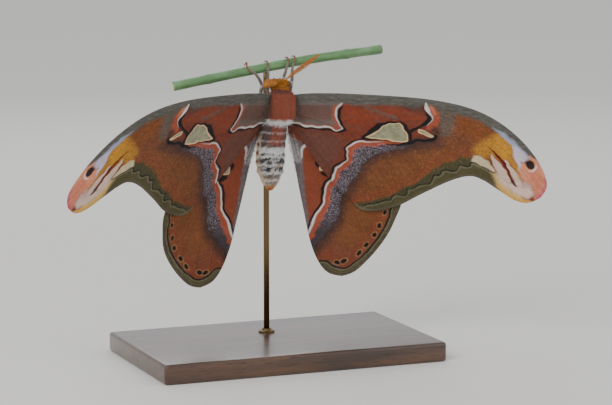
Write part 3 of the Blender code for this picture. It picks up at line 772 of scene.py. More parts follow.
def hindwing_fields(p):
    """The same fields for the hindwing."""
    q = p + EDGE_WANDER * np.column_stack([ripple(p, 5.0, 3), ripple(p, 5.0, 4)])
    v = q[:, 1]
    beyond = area_field(q, HIND_OUTER_AREA)
    from_margin = line_field(p, HIND_OUTER_MARGIN)
    colours = hindwing_ground(np.tile(paint("hind_red"), (len(p), 1)), q, beyond)
    colours = blend_in(colours, "hind_red", 0.5 * (beyond < 0) * ease(13.0, 8.5, from_margin))
    colours = mottled(colours, q, ("orange", "purple"), 3.0, 0.30, 43)
    share = band_share(q, HIND_POST, HIND_BAND_END, 53)
    in_band = 1.0 - ease(-0.3, 0.5, area_field(q, HIND_BAND_AREA))
    colours = blend_in(colours, "dark", in_band * ease(0.3, 0.6, share))
    colours = blend_in(colours, "dust_dark", in_band * between(share, 0.34, 0.76, 0.14))
    colours = blend_in(colours, "brick", in_band * (1 - ease(0.26, 0.42, share)))
    after = ease(5.0, 0.0, line_field(q, HIND_BAND_END))
    colours = blend_in(colours, "dark", 0.85 * (1 - in_band) * after * (beyond < 0.5))
    colours = wash(colours, "hind_grey", area_field(q, HIND_GREY_EDGE + HIND_INNER_MARGIN[::-1]), 1.8)
    margin = from_margin + 0.12 * ripple(p, 5.0, 9)
    inner = margin + 0.85 * between(v, 56.0, 74.0, 8.0)
    spots = np.minimum.reduce([spot_field(q, (a, b), 1.6, 1.0, turn) for a, b, turn in HIND_SPOTS])
    window = area_field(q, HIND_PANE)
    black = [
        nearest(q, HIND_BLACK_LINES),
        line_field(q, beside(HIND_POST, 1.25), 0.65),
        spots,
        np.abs(inner - 4.95) - 0.42,
        window - 0.5,
    ]
    return {
        "ground": hindwing_hem(colours, margin, inner, spots),
        "dust": in_band * between(share, 0.36, 0.78, 0.18) * ease(62.0, 50.0, v),
        "speckle": 0.2 + 0.5 * (1 - ease(-1.0, 1.0, beyond)),
        "black_marks": np.minimum.reduce(black),
        "white_marks": nearest(q, HIND_WHITE_LINES),
        "red_streak": np.full(len(p), FAR_AWAY),
        "pale_marks": np.full(len(p), FAR_AWAY),
        "window": window,
        "vein": nearest(p, [(vein, 0.0) for vein in HIND_VEINS]),
    }


def carry(data, name, kind, values):
    """Puts a value, or a row of values, on each corner of a mesh, under a name."""
    layer = data.attributes.new(name, kind, "POINT")
    layer.data.foreach_set(VALUE_FIELDS[kind], values.astype(np.float32).ravel())


def with_alpha(colours):
    return np.column_stack([colours, np.ones(len(colours))])


def grid_faces(index, turned):
    """The square faces over a grid of corners, turned round where asked."""
    corners = (index[:-1, :-1], index[1:, :-1], index[1:, 1:], index[:-1, 1:])
    faces = np.stack(corners, axis=-1).reshape(-1, 4)
    return faces[:, ::-1] if turned else faces


def from_rim(columns, rows):
    """How many cells each corner of a grid lies from its rim."""
    across = np.minimum(np.arange(columns), columns - 1 - np.arange(columns))
    along = np.minimum(np.arange(rows), rows - 1 - np.arange(rows))
    return np.minimum(across[:, None], along[None, :]).ravel()


def wing_sheets(flat, middle, normal, fields, rim, thickness, vein_height):
    """The upper and lower sheet of a wing: veins raised, cells sagging between them, windows thin."""
    vein = fields["vein"]
    sag = 0.14 * (1.0 - np.exp(-((vein / 2.4) ** 2))) * ease(0.0, 6.0, rim)
    ridge = vein_height * np.exp(-((vein / 0.42) ** 2))
    ridge = ridge + 0.05 * ease(0.0, 0.6, -fields["white_marks"])
    pane = fields["window"] < -0.3
    half = np.where(pane, thickness * 0.25, thickness * (0.30 + 0.20 * ease(0.0, 4.0, rim)))
    half = half + 0.25 * ease(16.0, 0.0, np.linalg.norm(flat, axis=1))
    top = middle + normal * (half + np.where(pane, 0.0, ridge) - sag)[:, None]
    low = middle - normal * (half + np.where(pane, 0.0, 0.7 * ridge) + sag)[:, None]
    return np.concatenate([top, low])


def wing_mesh(name, flat, shape, middle, fields, sizes, mirrored):
    """A closed wing: two sheets over a grid, joined round the edge. Windows take the second material."""
    columns, rows = shape
    grid = middle.reshape(columns, rows, 3)
    normal = np.cross(np.gradient(grid, axis=0), np.gradient(grid, axis=1)).reshape(-1, 3)
    normal /= np.linalg.norm(normal, axis=1)[:, None] * (1.0 if mirrored else -1.0)
    index = np.arange(columns * rows).reshape(columns, rows)
    quads = grid_faces(index, not mirrored)
    border = np.r_[index[:, 0], index[-1, 1:], index[-2::-1, -1], index[0, -2:0:-1]]
    ahead = np.roll(border, -1)
    under = columns * rows
    strip = np.stack([ahead, border, border + under, ahead + under], axis=-1)
    if not mirrored:
        strip = strip[:, ::-1]
    faces = np.concatenate([quads, quads[:, ::-1] + under, strip])
    points = wing_sheets(
        flat, middle, normal, fields, from_rim(columns, rows), sizes.thickness, sizes.vein_height
    )
    data = bpy.data.meshes.new(name)
    data.from_pydata(to_row(points).tolist(), [], faces.tolist())
    for key in WING_FIELDS:
        carry(data, key, "FLOAT", np.tile(fields[key], 2))
    carry(data, "underside", "FLOAT", np.repeat((0.0, 1.0), under))
    carry(data, "ground", "FLOAT_COLOR", np.tile(with_alpha(fields["ground"]), (2, 1)))
    inside = (fields["window"][quads] < 0.05).mean(axis=1) > 0.5
    slots = np.concatenate([inside, inside, np.zeros(len(strip), bool)]).astype(np.int32)
    data.polygons.foreach_set("material_index", slots)
    data.polygons.foreach_set("use_smooth", np.ones(len(faces), bool))
    # Each sheet has its own half of the map
    low_corner = flat.min(axis=0)
    drawn = (flat - low_corner) / (flat.max(axis=0) - low_corner).max() * 0.96
    drawn = np.concatenate([drawn * (1.0, 0.5), drawn * (1.0, 0.5) + (0.0, 0.5)])
    set_bake_uv(data, drawn + 0.01)
    data.update()
    return data


def wing_scale_material():
    """Wing scales: dust-fine plates that overlap on a membrane, matt, velvety and grainy."""
    made, tree, shader = new_material("wing_scales", {
        "Roughness": 0.72, "Specular IOR Level": 0.16, "Sheen Weight": 0.05, "Sheen Roughness": 0.4,
    })
    place = node(tree, "ShaderNodeTexCoord").outputs["Object"]
    # A wing scale is 0.1 to 0.2 mm long: too fine to show, so the grain is drawn about 0.4 mm wide
    grain, coarse, broad = [
        node(tree, "ShaderNodeTexNoise", None, Vector=place, Scale=scale, Detail=detail, Roughness=0.6)
        for scale, detail in ((2600.0, 2.0), (900.0, 2.0), (120.0, 3.0))
    ]
    carried = {
        name: node(tree, "ShaderNodeAttribute", {"attribute_name": name}).outputs["Fac"]
        for name in (*WING_FIELDS, "underside")
    }
    # A mark's edge is as uneven as rows of scales make it
    uneven = node(tree, "ShaderNodeMath", {"operation": "MULTIPLY_ADD"}, i0=grain, i1=0.5, i2=-0.25)
    marks = {
        name: node(tree, "ShaderNodeMath", {"operation": "ADD"}, i0=carried[name], i1=uneven)
        for name in ("pale_marks", "black_marks", "red_streak", "white_marks")
    }
    colour = node(tree, "ShaderNodeAttribute", {"attribute_name": "ground"})
    # Scattered darker and paler scales, veins, dust on the bands, then the marks: paint, what carries it,
    # where it is weakest and strongest, its strength, and the field that it keeps to
    for name, carrier, weakest, strongest, strength, kept_to in (
        ("dark", coarse, 0.50, 0.66, 0.36, "speckle"),
        ("salmon", coarse, 0.46, 0.32, 0.13, "speckle"),
        ("dark", carried["vein"], 0.5, 0.1, 0.16, None),
        ("dust", grain, 0.46, 0.60, 0.52, "dust"),
        ("black", coarse, 0.52, 0.38, 0.65, "dust"),
        ("rose_cream", marks["pale_marks"], 0.4, -0.4, 0.9, None),
        ("black", marks["black_marks"], 0.45, -0.35, 0.96, None),
        ("ember", marks["red_streak"], 0.14, -0.14, 1.0, None),
        ("white", marks["white_marks"], 0.4, -0.35, 0.9, None),
        ("pane_rim", carried["window"], 0.45, 0.2, 1.0, None),
        ("collar", carried["underside"], 0.0, 1.0, 0.30, None),
    ):
        weight = node(
            tree, "ShaderNodeMapRange", {"interpolation_type": "SMOOTHSTEP"},
            Value=carrier, From_Min=weakest, From_Max=strongest, To_Max=strength,
        )
        if kept_to:
            weight = node(tree, "ShaderNodeMath", {"operation": "MULTIPLY"}, i0=weight, i1=carried[kept_to])
        colour = node(
            tree, "ShaderNodeMix", {"data_type": "RGBA"}, i0=weight, i6=colour, i7=rgba(PAINTS[name])
        )
    # Lighter and darker scale by scale, and in broad clouds
    for noise, low, high, darkest, brightest in (
        (grain, 0.25, 0.75, 0.76, 1.18), (broad, 0.3, 0.7, 0.92, 1.07),
    ):
        shade = node(
            tree, "ShaderNodeMapRange", {"interpolation_type": "SMOOTHSTEP"},
            Value=noise, From_Min=low, From_Max=high, To_Min=darkest, To_Max=brightest,
        )
        multiply = {"data_type": "RGBA", "blend_type": "MULTIPLY"}
        colour = node(tree, "ShaderNodeMix", multiply, i0=1.0, i6=colour, i7=shade)
    bump = node(tree, "ShaderNodeBump", None, Strength=0.35, Distance=0.00008, Height=grain)
    shade_with(tree, shader, Base_Color=colour, Normal=bump)
    return made


def window_material():
    """Bare wing membrane, clear and slightly yellow, with a faint gloss."""
    made, tree, shader = new_material("wing_membrane", {"Roughness": 0.28, "Alpha": 0.86})
    place = node(tree, "ShaderNodeTexCoord").outputs["Object"]
    cloud = node(tree, "ShaderNodeTexNoise", None, Vector=place, Scale=420.0, Detail=3.0)
    amount = node(tree, "ShaderNodeMapRange", None, Value=cloud, From_Min=0.35, From_Max=0.65)
    tint = node(
        tree, "ShaderNodeMix", {"data_type": "RGBA"}, i0=amount,
        i6=rgba("817f60"), i7=rgba("a09f7a"),
    )
    pane = node(tree, "ShaderNodeAttribute", {"attribute_name": "window"}).outputs["Fac"]
    rim = node(tree, "ShaderNodeMapRange", None, Value=pane, From_Min=-0.5, From_Max=-0.15)
    edge = node(
        tree, "ShaderNodeMix", {"data_type": "RGBA"}, i0=rim, i6=tint, i7=rgba(PAINTS["pane_rim"])
    )
    shade_with(tree, shader, Base_Color=edge)
    return made


def add_piece(name, data, *slots):
    made = bpy.data.objects.new(name, data)
    bpy.context.scene.collection.objects.link(made)
    for finish in slots:
        data.materials.append(finish)
    return made


def settle(piece, slot, *nodes):
    """Ties a finished piece to the frame."""
    if nodes:
        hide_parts(*nodes)
    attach(piece, BODY)


def to_data(mesh, name, sharp=None):
    """Turns a mesh being built into a smooth finished one, with edges over sharp degrees kept sharp."""
    data = bpy.data.meshes.new(name)
    mesh.to_mesh(data)
    mesh.free()
    data.shade_smooth()
    if sharp:
        data.set_sharp_from_angle(angle=math.radians(sharp))
    return data


def evaluated_mesh(piece):
    """A plain mesh of a piece with the result of its modifiers."""
    bpy.context.view_layer.update()
    return bpy.data.meshes.new_from_object(piece.evaluated_get(bpy.context.evaluated_depsgraph_get()))


# Body skin and fur


def merged_copy(name, inset):
    """A copy of a node's mesh with its corners joined, shrunk by inset mm."""
    mesh = bmesh.new()
    mesh.from_mesh(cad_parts[name].data)
    bmesh.ops.remove_doubles(mesh, verts=mesh.verts, dist=1e-5)
    bmesh.ops.recalc_face_normals(mesh, faces=mesh.faces)
    mesh.normal_update()
    for vert in mesh.verts:
        vert.co -= vert.normal * inset * MM
    return mesh


def add_ball(mesh, centre, radius, stretch=(1.0, 1.0, 1.0)):
    """Adds a ball, in the moth's frame, to a mesh."""
    made = bmesh.ops.create_uvsphere(mesh, u_segments=16, v_segments=10, radius=1.0)
    for vert in made["verts"]:
        place = [centre[k] + vert.co[k] * radius * stretch[k] for k in range(3)]
        vert.co = POSE @ (Vector(place) * MM)


def thorax_tint(colours, points, wobble):
    """Brick red, darker at its front edge and in two partings, grey-brown over the wing bases."""
    x, y, z = points.T
    zz = z + wobble
    side = np.abs(x)
    colours = blend_in(colours, "thorax_dark", ease(4.6, 6.6, zz) * 0.8)
    colours = blend_in(colours, "costal", 0.6 * ease(4.4, 5.6, side) * ease(4.0, 6.5, zz))
    parting = ease(0.9, 0.2, np.abs(side - 2.6) + 0.3 * wobble)
    colours = blend_in(colours, "thorax_dark", 0.25 * parting * (y < 2))
    colours = blend_in(colours, "costal", 0.75 * ease(5.2, 6.6, side) * ease(-8.0, -6.0, z))
    colours = blend_in(colours, "belly", 0.55 * ease(4.0, 7.0, y) * (z > -9.0))
    return blend_in(colours, "band", between(zz, -10.6, -7.2, 0.35) * ease(8.5, 6.0, y))


def abdomen_tint(colours, points, wobble):
    """Red-brown at the front, then slate and white rings, a spotted cream stripe on each side, ochre tip."""
    x, y, z = points.T
    zz = z + wobble
    middle = np.interp(-z, [-at[2] for at in ABDOMEN_LINE], [at[0] for at in ABDOMEN_LINE])
    side = np.abs(x - middle)
    along = ease(-10.2, -11.0, zz)
    late = along * ease(-19.6, -22.6, z)
    early = along * (1.0 - ease(-19.6, -22.6, z))
    ring = (-z - 10.6) / SEGMENT_LENGTH + 0.06 * ripple(points, 4.0, 23)
    phase = ring - np.floor(ring)
    cloud = ripple(points, 2.2, 25)
    colours = blend_in(colours, "abdomen", along)
    colours = blend_in(colours, "slate", early * 0.85 * ease(2.4, 4.6, side + 1.2 * ripple(points, 3.0, 27)))
    colours = blend_in(colours, "ring", early * 0.55 * between(phase, 0.86, 0.97, 0.05))
    colours = blend_in(colours, "slate", late)
    colours = blend_in(colours, "ring", late * 0.62 * ease(-0.2, 0.8, cloud))
    colours = blend_in(
        colours, "black", late * 0.75 * ease(-0.1, 0.8, -cloud) * between(phase, 0.06, 0.6, 0.15)
    )
    colours = blend_in(
        colours, "black", 0.6 * late * between(phase, 0.0, 0.10, 0.05) * ease(-0.6, 0.4, cloud)
    )
    colours = blend_in(colours, "ring", late * between(phase, 0.74, 0.97, 0.08) * 0.92)
    colours = blend_in(colours, "rose_cream", 0.35 * ease(-34.5, -37.0, z) * along)
    patch = np.hypot(x - middle - 1.9, (z + 31.5) * 1.4)
    colours = blend_in(colours, "belly", late * 0.6 * (1 - ease(1.4, 2.4, patch)) * (y < 6))
    colours = blend_in(colours, "band", between(zz, -25.0, -22.6, 0.5) * along)
    reach = np.interp(-z, (10.0, 18.0, 28.0, 34.0, 40.0, 44.0), (6.2, 6.5, 6.8, 5.9, 3.3, 1.0))
    stripe = ease(reach - 0.2, reach + 0.25, side) * ease(-14.5, -18.0, z) * (y < 12.5) * along
    colours = blend_in(colours, "side_cream", 0.95 * stripe)
    spots = np.cos((z + 24.8) * 2 * math.pi / SEGMENT_LENGTH) > 0.1
    in_stripe = between(side - reach, 0.35, 1.2, 0.2)
    colours = blend_in(colours, "side_spot", 0.95 * stripe * spots * in_stripe * ease(-34.0, -32.0, z))
    colours = blend_in(colours, "belly", 0.7 * along * ease(10.5, 13.5, y))
    colours = blend_in(
        colours, "side_spot", 0.5 * along * ease(11.0, 14.0, y) * between(phase, 0.3, 0.6, 0.1)
    )
    colours = blend_in(colours, "tip", ease(-39.6, -41.6, zz + 0.35 * side))
    return blend_in(colours, "side_spot", 0.7 * ease(-42.0, -43.4, zz) * (cloud > 0.2))


def head_tint(colours, points, wobble):
    """Ochre, darker on the face, on the palps and round the eyes."""
    x, y, z = points.T
    on_head = ease(7.0, 7.8, z + wobble) * (np.abs(x) < 6.2) * (z < 13.6)
    mirrored = np.column_stack([np.abs(x), y, z])
    from_palp = np.linalg.norm(mirrored - PALP_CENTRE, axis=1)
    from_eye = np.linalg.norm(mirrored - np.array(EYE_CENTRE), axis=1)
    colours = blend_in(colours, "head", on_head)
    colours = blend_in(colours, "side_spot", on_head * 0.55 * ease(5.6, 7.2, y))
    colours = blend_in(colours, "thorax_dark", on_head * ease(1.7, 1.1, from_palp))
    return blend_in(colours, "head_dark", on_head * 0.8 * ease(2.5, 1.9, from_eye))


def body_tint(points):
    """The colour of fur and skin at places on the body, in the moth's frame."""
    wobble = 0.35 * ripple(points, 3.0, 21)
    colours = np.tile(paint("thorax"), (len(points), 1))
    colours = thorax_tint(colours, points, wobble)
    colours = abdomen_tint(colours, points, wobble)
    return head_tint(colours, points, wobble)


def leg_share(points):
    """For each place: distance to the nearest leg's line, how far along it lies, and its direction."""
    best = np.full(len(points), 1e9)
    share = np.zeros(len(points))
    way = np.zeros((len(points), 3))
    which = np.zeros(len(points), int)
    for number, line in enumerate(LEG_LINES.values()):
        path = smooth_path(line, 4)
        for i, (start, end) in enumerate(zip(path, path[1:])):
            span = end - start
            t = np.clip((points - start) @ span / (span @ span), 0.0, 1.0)
            gap = np.linalg.norm(points - start - t[:, None] * span, axis=1)
            nearer = gap < best
            best = np.where(nearer, gap, best)
            share = np.where(nearer, (i + t) / (len(path) - 1), share)
            way[nearer] = span / np.linalg.norm(span)
            which = np.where(nearer, number, which)
    return best, share, way, which


def skin_unwrap(points):
    """Places on the body's own unwrap: rolled out round the trunk, and each leg in a strip of its own."""
    x, y, z = points.T
    centre_y = np.interp(-z, (-14.0, -9.0, 1.4, 9.6, 18.0, 28.0, 43.5), (3.4, 3.4, 0.3, 4.8, 6.6, 8.2, 8.6))
    angle = np.arctan2(x, centre_y - y) / (2 * math.pi) + 0.5
    flat = np.column_stack([0.01 + 0.98 * angle, 0.01 + 0.62 * (z + 46.0) / 62.0])
    gap, share, _, which = leg_share(points)
    round_leg = 0.5 + 0.5 * np.sin(y * 2.0)
    strip = np.column_stack([0.01 + which / 6.2 + 0.14 * round_leg, 0.66 + 0.32 * share])
    on_leg = (gap < 1.5) & on_a_leg(points)
    return np.where(on_leg[:, None], strip, flat)


def on_a_leg(points):
    """Whether places are on a leg and not on the trunk."""
    x, y, z = points.T
    trunk = (x / 7.4) ** 2 + ((y - 0.3) / 8.6) ** 2 + ((z + 1.4) / 9.8) ** 2
    head = (x / 5.3) ** 2 + ((y - 3.4) / 4.7) ** 2 + ((z - 9.2) / 4.0) ** 2
    belly = (z < -8.0) & (np.hypot(x + 1.4, (y - 7.5)) < 8.2) & (y < 15.6)
    gap = leg_share(points)[0]
    return (trunk > 1.12) & (head > 1.1) & ~belly & (gap < 2.2)


def vertex_values(data, key):
    """A mesh's places or normals, one row for each corner."""
    values = np.empty(len(data.vertices) * 3, np.float32)
    data.vertices.foreach_get(key, values)
    return values.reshape(-1, 3).astype(float)


def lie_of_fur(points, normals, leg, way, head, collar):
    """The way that fur lies: down the body, out over the wing bases, forwards and up on the head."""
    x, y, z = points.T
    nothing = np.zeros(len(points))
    lie = np.column_stack([0.10 * x, 0.04 * y, nothing - 1.0])
    on_head = np.column_stack([0.10 * x, 0.16 * (y - 3.4), nothing + 0.30])
    lie = np.where(head[:, None], on_head, lie)
    lie += collar[:, None] * np.column_stack([0.06 * x, 0.05 * (y - 3.0), nothing])
    # On the shoulders, which face forwards, it fans out from the neck and turns back over the edge
    shoulder = (ease(0.35, 0.8, normals[:, 2]) * (z < 8.4) * (z > 3.0) * ~leg)[:, None]
    fan = np.column_stack([x, y - 1.5, nothing - 0.6])
    fan /= np.maximum(np.linalg.norm(fan, axis=1), 1)[:, None]
    lie = lie * (1 - shoulder) + fan * shoulder
    lie = np.where(leg[:, None], way, lie)
    lie -= normals * (lie * normals).sum(axis=1)[:, None]
    return lie / np.maximum(np.linalg.norm(lie, axis=1), 1e-6)[:, None]


def fur_length(points, leg, head, collar, share):
    """How long the fur is, in mm: longest on the thorax, shortest on face and feet, in rings behind."""
    y, z = points[:, 1], points[:, 2]
    length = np.full(len(points), 1.75)
    length = np.where(z < -11.0, 1.30 + 0.25 * np.cos((-z + 11.0) / 4.1 * 2 * math.pi), length)
    length = np.where(z < -38.0, 1.1, length) + 0.1 * collar
    length = np.where(head, 0.95 - 0.35 * ease(5.4, 6.8, y), length)
    return np.where(leg, 0.85 - 0.55 * ease(0.45, 0.72, share), length)


def fur_attributes(data):
    """Puts colours, the lie of the fur, its length and its cover on the skin's corners."""
    points = to_moth(vertex_values(data, "co"))
    normals = vertex_values(data, "normal") @ np.array(POSE.to_3x3())
    z = points[:, 2]
    _, share, way, _ = leg_share(points)
    leg = on_a_leg(points)
    head = (z > 8.2) & ~leg
    collar = between(z, -11.4, -6.6, 0.8) * ~leg
    leg_tint = np.tile(paint("leg"), (len(points), 1))
    leg_tint = blend_in(leg_tint, "foot", ease(0.62, 0.72, share))
    leg_tint = blend_in(leg_tint, "ring", 0.8 * between(share, 0.38, 0.42, 0.015))
    tint = np.where(leg[:, None], leg_tint, body_tint(points))
    off_eyes = np.linalg.norm(np.abs(points) - np.array(EYE_CENTRE), axis=1) > EYE_RADIUS + 0.25
    cover = {
        "head_fur": head & off_eyes,
        "thorax_fur": ~head & ~leg & (z > -9.4) & (z <= 8.6),
        "abdomen_fur": ~leg & (z <= -9.4),
        "leg_fur": leg,
    }
    for key, values in cover.items():
        carry(data, key, "FLOAT", values)
    carry(data, "hair_length", "FLOAT", fur_length(points, leg, head, collar, share) * MM)
    carry(data, "lie", "FLOAT_VECTOR", turn_to_row(lie_of_fur(points, normals, leg, way, head, collar)))
    carry(data, "tint", "FLOAT_COLOR", with_alpha(tint))


def set_bake_uv(data, flat):
    """Writes places on an unwrap, one for each corner, as the map named OFBake."""
    layer = data.uv_layers.get("OFBake") or data.uv_layers.new(name="OFBake")
    corners = np.empty(len(data.loops), np.int32)
    data.loops.foreach_get("vertex_index", corners)
    layer.data.foreach_set("uv", flat[corners].astype(np.float32).ravel())


def fur_material(name, base_shade, noise_scale):
    """Scale-hairs and skin: dull, soft-edged keratin with a weak sheen, lighter and darker hair by hair."""
    made, tree, shader = new_material(
        name, {"Roughness": 0.75, "Specular IOR Level": 0.2, "Sheen Weight": 0.15}
    )
    place = node(tree, "ShaderNodeTexCoord").outputs["Object"]
    fleck = node(tree, "ShaderNodeTexNoise", None, Vector=place, Scale=noise_scale, Detail=2.0)
    shade = node(
        tree, "ShaderNodeMapRange", None, Value=fleck, From_Min=0.3, From_Max=0.7,
        To_Min=base_shade * 0.78, To_Max=base_shade * 1.22,
    )
    tint = node(tree, "ShaderNodeAttribute", {"attribute_name": "tint"})
    colour = node(
        tree, "ShaderNodeMix", {"data_type": "RGBA", "blend_type": "MULTIPLY"}, i0=1.0, i6=tint, i7=shade
    )
    shade_with(tree, shader, Base_Color=colour)
    return made


def tuft_template(name, spikes, seed):
    """A tuft of tapered three-sided hairs, one unit long along Z, with its own flat patch."""
    rng = np.random.default_rng(seed)
    verts, faces, patch = [], [], []
    for _ in range(spikes):
        root = np.array((rng.uniform(-0.9, 0.9), rng.uniform(-0.25, 0.25), -0.08))
        tip = np.array(
            (root[0] * 1.5 + rng.uniform(-0.8, 0.8), rng.uniform(-0.5, 0.6), rng.uniform(0.75, 1.05))
        )
        first = len(verts)
        for t, wide in ((0.0, 0.42), (0.5, 0.34)):
            centre = root + (tip - root) * t + np.array((0.0, 0.55 * t * (1 - t) * 2, 0.0))
            for corner in range(3):
                a = 2 * math.pi * corner / 3 + math.pi / 2
                verts.append(centre + np.array((wide * math.cos(a), wide * 0.45 * math.sin(a), 0.0)))
                patch.append((0.5 + 0.5 * math.cos(a) * wide, t))
        verts.append(tip)
        patch.append((0.5, 1.0))
        faces.append((first + 2, first + 1, first))
        for corner in range(3):
            after = (corner + 1) % 3
            faces.append((first + corner, first + after, first + 3 + after, first + 3 + corner))
            faces.append((first + 3 + corner, first + 3 + after, first + 6))
    data = bpy.data.meshes.new(name)
    data.from_pydata([tuple(v) for v in verts], [], faces)
    carry(data, "patch", "FLOAT2", np.array(patch))
    return add_piece(name, data)


def coat_tree(cover):
    """Geometry Nodes that plant a tuft at points on the skin, laid along the fur's direction."""
    tree = bpy.data.node_groups.new("coat_" + cover, "GeometryNodeTree")
    face = tree.interface
    face.new_socket("Geometry", in_out="INPUT", socket_type="NodeSocketGeometry")
    for name, kind in (
        ("Spacing", "NodeSocketFloat"), ("Hair width", "NodeSocketFloat"), ("Lift", "NodeSocketFloat"),
        ("Jitter", "NodeSocketFloat"), ("Seed", "NodeSocketInt"), ("Tuft", "NodeSocketObject"),
        ("Material", "NodeSocketMaterial"),
    ):
        face.new_socket(name, in_out="INPUT", socket_type=kind)
    face.new_socket("Geometry", in_out="OUTPUT", socket_type="NodeSocketGeometry")
    given = node(tree, "NodeGroupInput").outputs
    grown, lie, hair_length = [
        node(tree, "GeometryNodeInputNamedAttribute", {"data_type": kind}, Name=name)
        for name, kind in ((cover, "FLOAT"), ("lie", "FLOAT_VECTOR"), ("hair_length", "FLOAT"))
    ]
    # Where tufts stand: at least the spacing apart, and only where this coat grows
    cell = node(tree, "ShaderNodeMath", {"operation": "MULTIPLY"}, i0=given["Spacing"], i1=given["Spacing"])
    density = node(tree, "ShaderNodeMath", {"operation": "DIVIDE"}, i0=1.0, i1=cell)
    planted = node(
        tree, "GeometryNodeDistributePointsOnFaces", {"distribute_method": "POISSON"},
        Mesh=given["Geometry"], Distance_Min=given["Spacing"], Density_Max=density, Density_Factor=grown,
        Seed=given["Seed"],
    )
    normal = planted.outputs["Normal"]
    place = node(tree, "GeometryNodeInputPosition")
    rooted = node(
        tree, "GeometryNodeStoreNamedAttribute", {"data_type": "FLOAT_VECTOR", "domain": "POINT"},
        Geometry=planted.outputs["Points"], Name="hair_root", Value=place,
    )
    # How a tuft lies: along the lie, raised a little, with some disorder
    shake = node(
        tree, "FunctionNodeRandomValue", {"data_type": "FLOAT_VECTOR"}, i0=(-1, -1, -1), i1=(1, 1, 1),
        Seed=given["Seed"],
    )
    forward = node(tree, "ShaderNodeMath", {"operation": "COSINE"}, i0=given["Lift"])
    upward = node(tree, "ShaderNodeMath", {"operation": "SINE"}, i0=given["Lift"])
    along = None
    for way, amount in ((lie, forward), (normal, upward), (shake, given["Jitter"])):
        share = node(tree, "ShaderNodeVectorMath", {"operation": "SCALE"}, i0=way, Scale=amount)
        if along:
            share = node(tree, "ShaderNodeVectorMath", {"operation": "ADD"}, i0=along, i1=share)
        along = share
    along = node(tree, "ShaderNodeVectorMath", {"operation": "NORMALIZE"}, i0=along)
    turn = node(
        tree, "FunctionNodeAxesToRotation", {"primary_axis": "Z", "secondary_axis": "Y"},
        Primary_Axis=along, Secondary_Axis=normal,
    )
    uneven = node(
        tree, "FunctionNodeRandomValue", {"data_type": "FLOAT"}, i2=0.75, i3=1.25, Seed=given["Seed"]
    )
    length = node(tree, "ShaderNodeMath", {"operation": "MULTIPLY"}, i0=hair_length, i1=uneven)
    size = node(tree, "ShaderNodeCombineXYZ", None, X=given["Hair width"], Y=given["Hair width"], Z=length)
    tuft = node(tree, "GeometryNodeObjectInfo", None, Object=given["Tuft"])
    put = node(
        tree, "GeometryNodeInstanceOnPoints", None, Points=rooted, Instance=tuft.outputs["Geometry"],
        Rotation=turn, Scale=size,
    )
    real = node(tree, "GeometryNodeRealizeInstances", None, Geometry=put)
    finish = node(tree, "GeometryNodeSetMaterial", None, Geometry=real, Material=given["Material"])
    node(tree, "NodeGroupOutput", None, Geometry=finish)
    return tree


def run_nodes(source, tree, values):
    """Runs a Geometry Nodes tree on an object and leaves its result as that object's plain mesh."""
    modifier = source.modifiers.new(tree.name, "NODES")
    modifier.node_group = tree
    sockets = {s.name: s.identifier for s in tree.interface.items_tree if s.in_out == "INPUT"}
    for name, value in values.items():
        modifier[sockets[name]] = value
    made = evaluated_mesh(source)
    source.modifiers.remove(modifier)
    source.data = made
    return made


def hair_bed(name, flat, shape, hind, side, lie, length, tint, cover):
    """A patch of a wing's surface that carries hair: flat places on its drawing, and the hair's lie there."""
    middle = wing_surface(flat, side, hind)
    step = 0.5
    out = (wing_surface(flat + (step, 0.0), side, hind) - middle) / step
    back = (wing_surface(flat + (0.0, step), side, hind) - middle) / step
    laid = lie[:, :1] * out + lie[:, 1:] * back
    laid /= np.linalg.norm(laid, axis=1)[:, None]
    middle = middle + np.cross(back, out) * (0.18 if hind else 0.40)
    left = side == "left"
    mirror = (-1.0, 1.0, 1.0) if left else (1.0, 1.0, 1.0)
    quads = grid_faces(np.arange(shape[0] * shape[1]).reshape(shape), left)
    data = bpy.data.meshes.new(name)
    data.from_pydata(to_row(middle * mirror).tolist(), [], quads.tolist())
    carry(data, "wing_hair", "FLOAT", cover)
    carry(data, "hair_length", "FLOAT", length * MM)
    carry(data, "lie", "FLOAT_VECTOR", turn_to_row(laid * mirror))
    carry(data, "tint", "FLOAT_COLOR", with_alpha(tint))
    carry(data, "drawn_at", "FLOAT_VECTOR", np.column_stack([flat, np.zeros(len(flat))]))
    return add_piece(name, data)


def edge_hair_bed(side):
    """Hair along the hindwing's inner edge, longer towards the root."""
    shape = (60, 6)
    rows, across = np.linspace(3.0, 62.0, shape[0]), np.linspace(0.15, 3.6, shape[1])
    edge_u, edge_v = np.array(HINDWING_BACK[:6]).T
    flat = np.column_stack([
        (np.interp(rows, edge_v, edge_u)[:, None] + across[None, :]).ravel(), np.repeat(rows, shape[1]),
    ])
    down = flat[:, 1]
    lie = np.column_stack([-0.75 * ease(40.0, 8.0, down) - 0.28, np.ones(len(flat))])
    length = (0.8 + 2.4 * ease(36.0, 10.0, down)) * (1.0 - 0.12 * np.tile(across, shape[0]))
    tint = np.tile(paint("hind_grey"), (len(flat), 1))
    tint = blend_in(tint, "collar", 0.5 * ease(0.0, 1.0, ripple(flat, 2.0, 81)))
    from_white = line_field(flat, [(2.0, 9.0), (3.0, 15.0), (4.0, 20.0)])
    tint = blend_in(tint, "band", 0.5 * (1 - ease(2.0, 4.0, from_white)))
    cover = ease(62.0, 30.0, down) * 0.8 + 0.15
    return hair_bed("edge_" + side, flat, shape, True, side, lie, length, tint, cover)


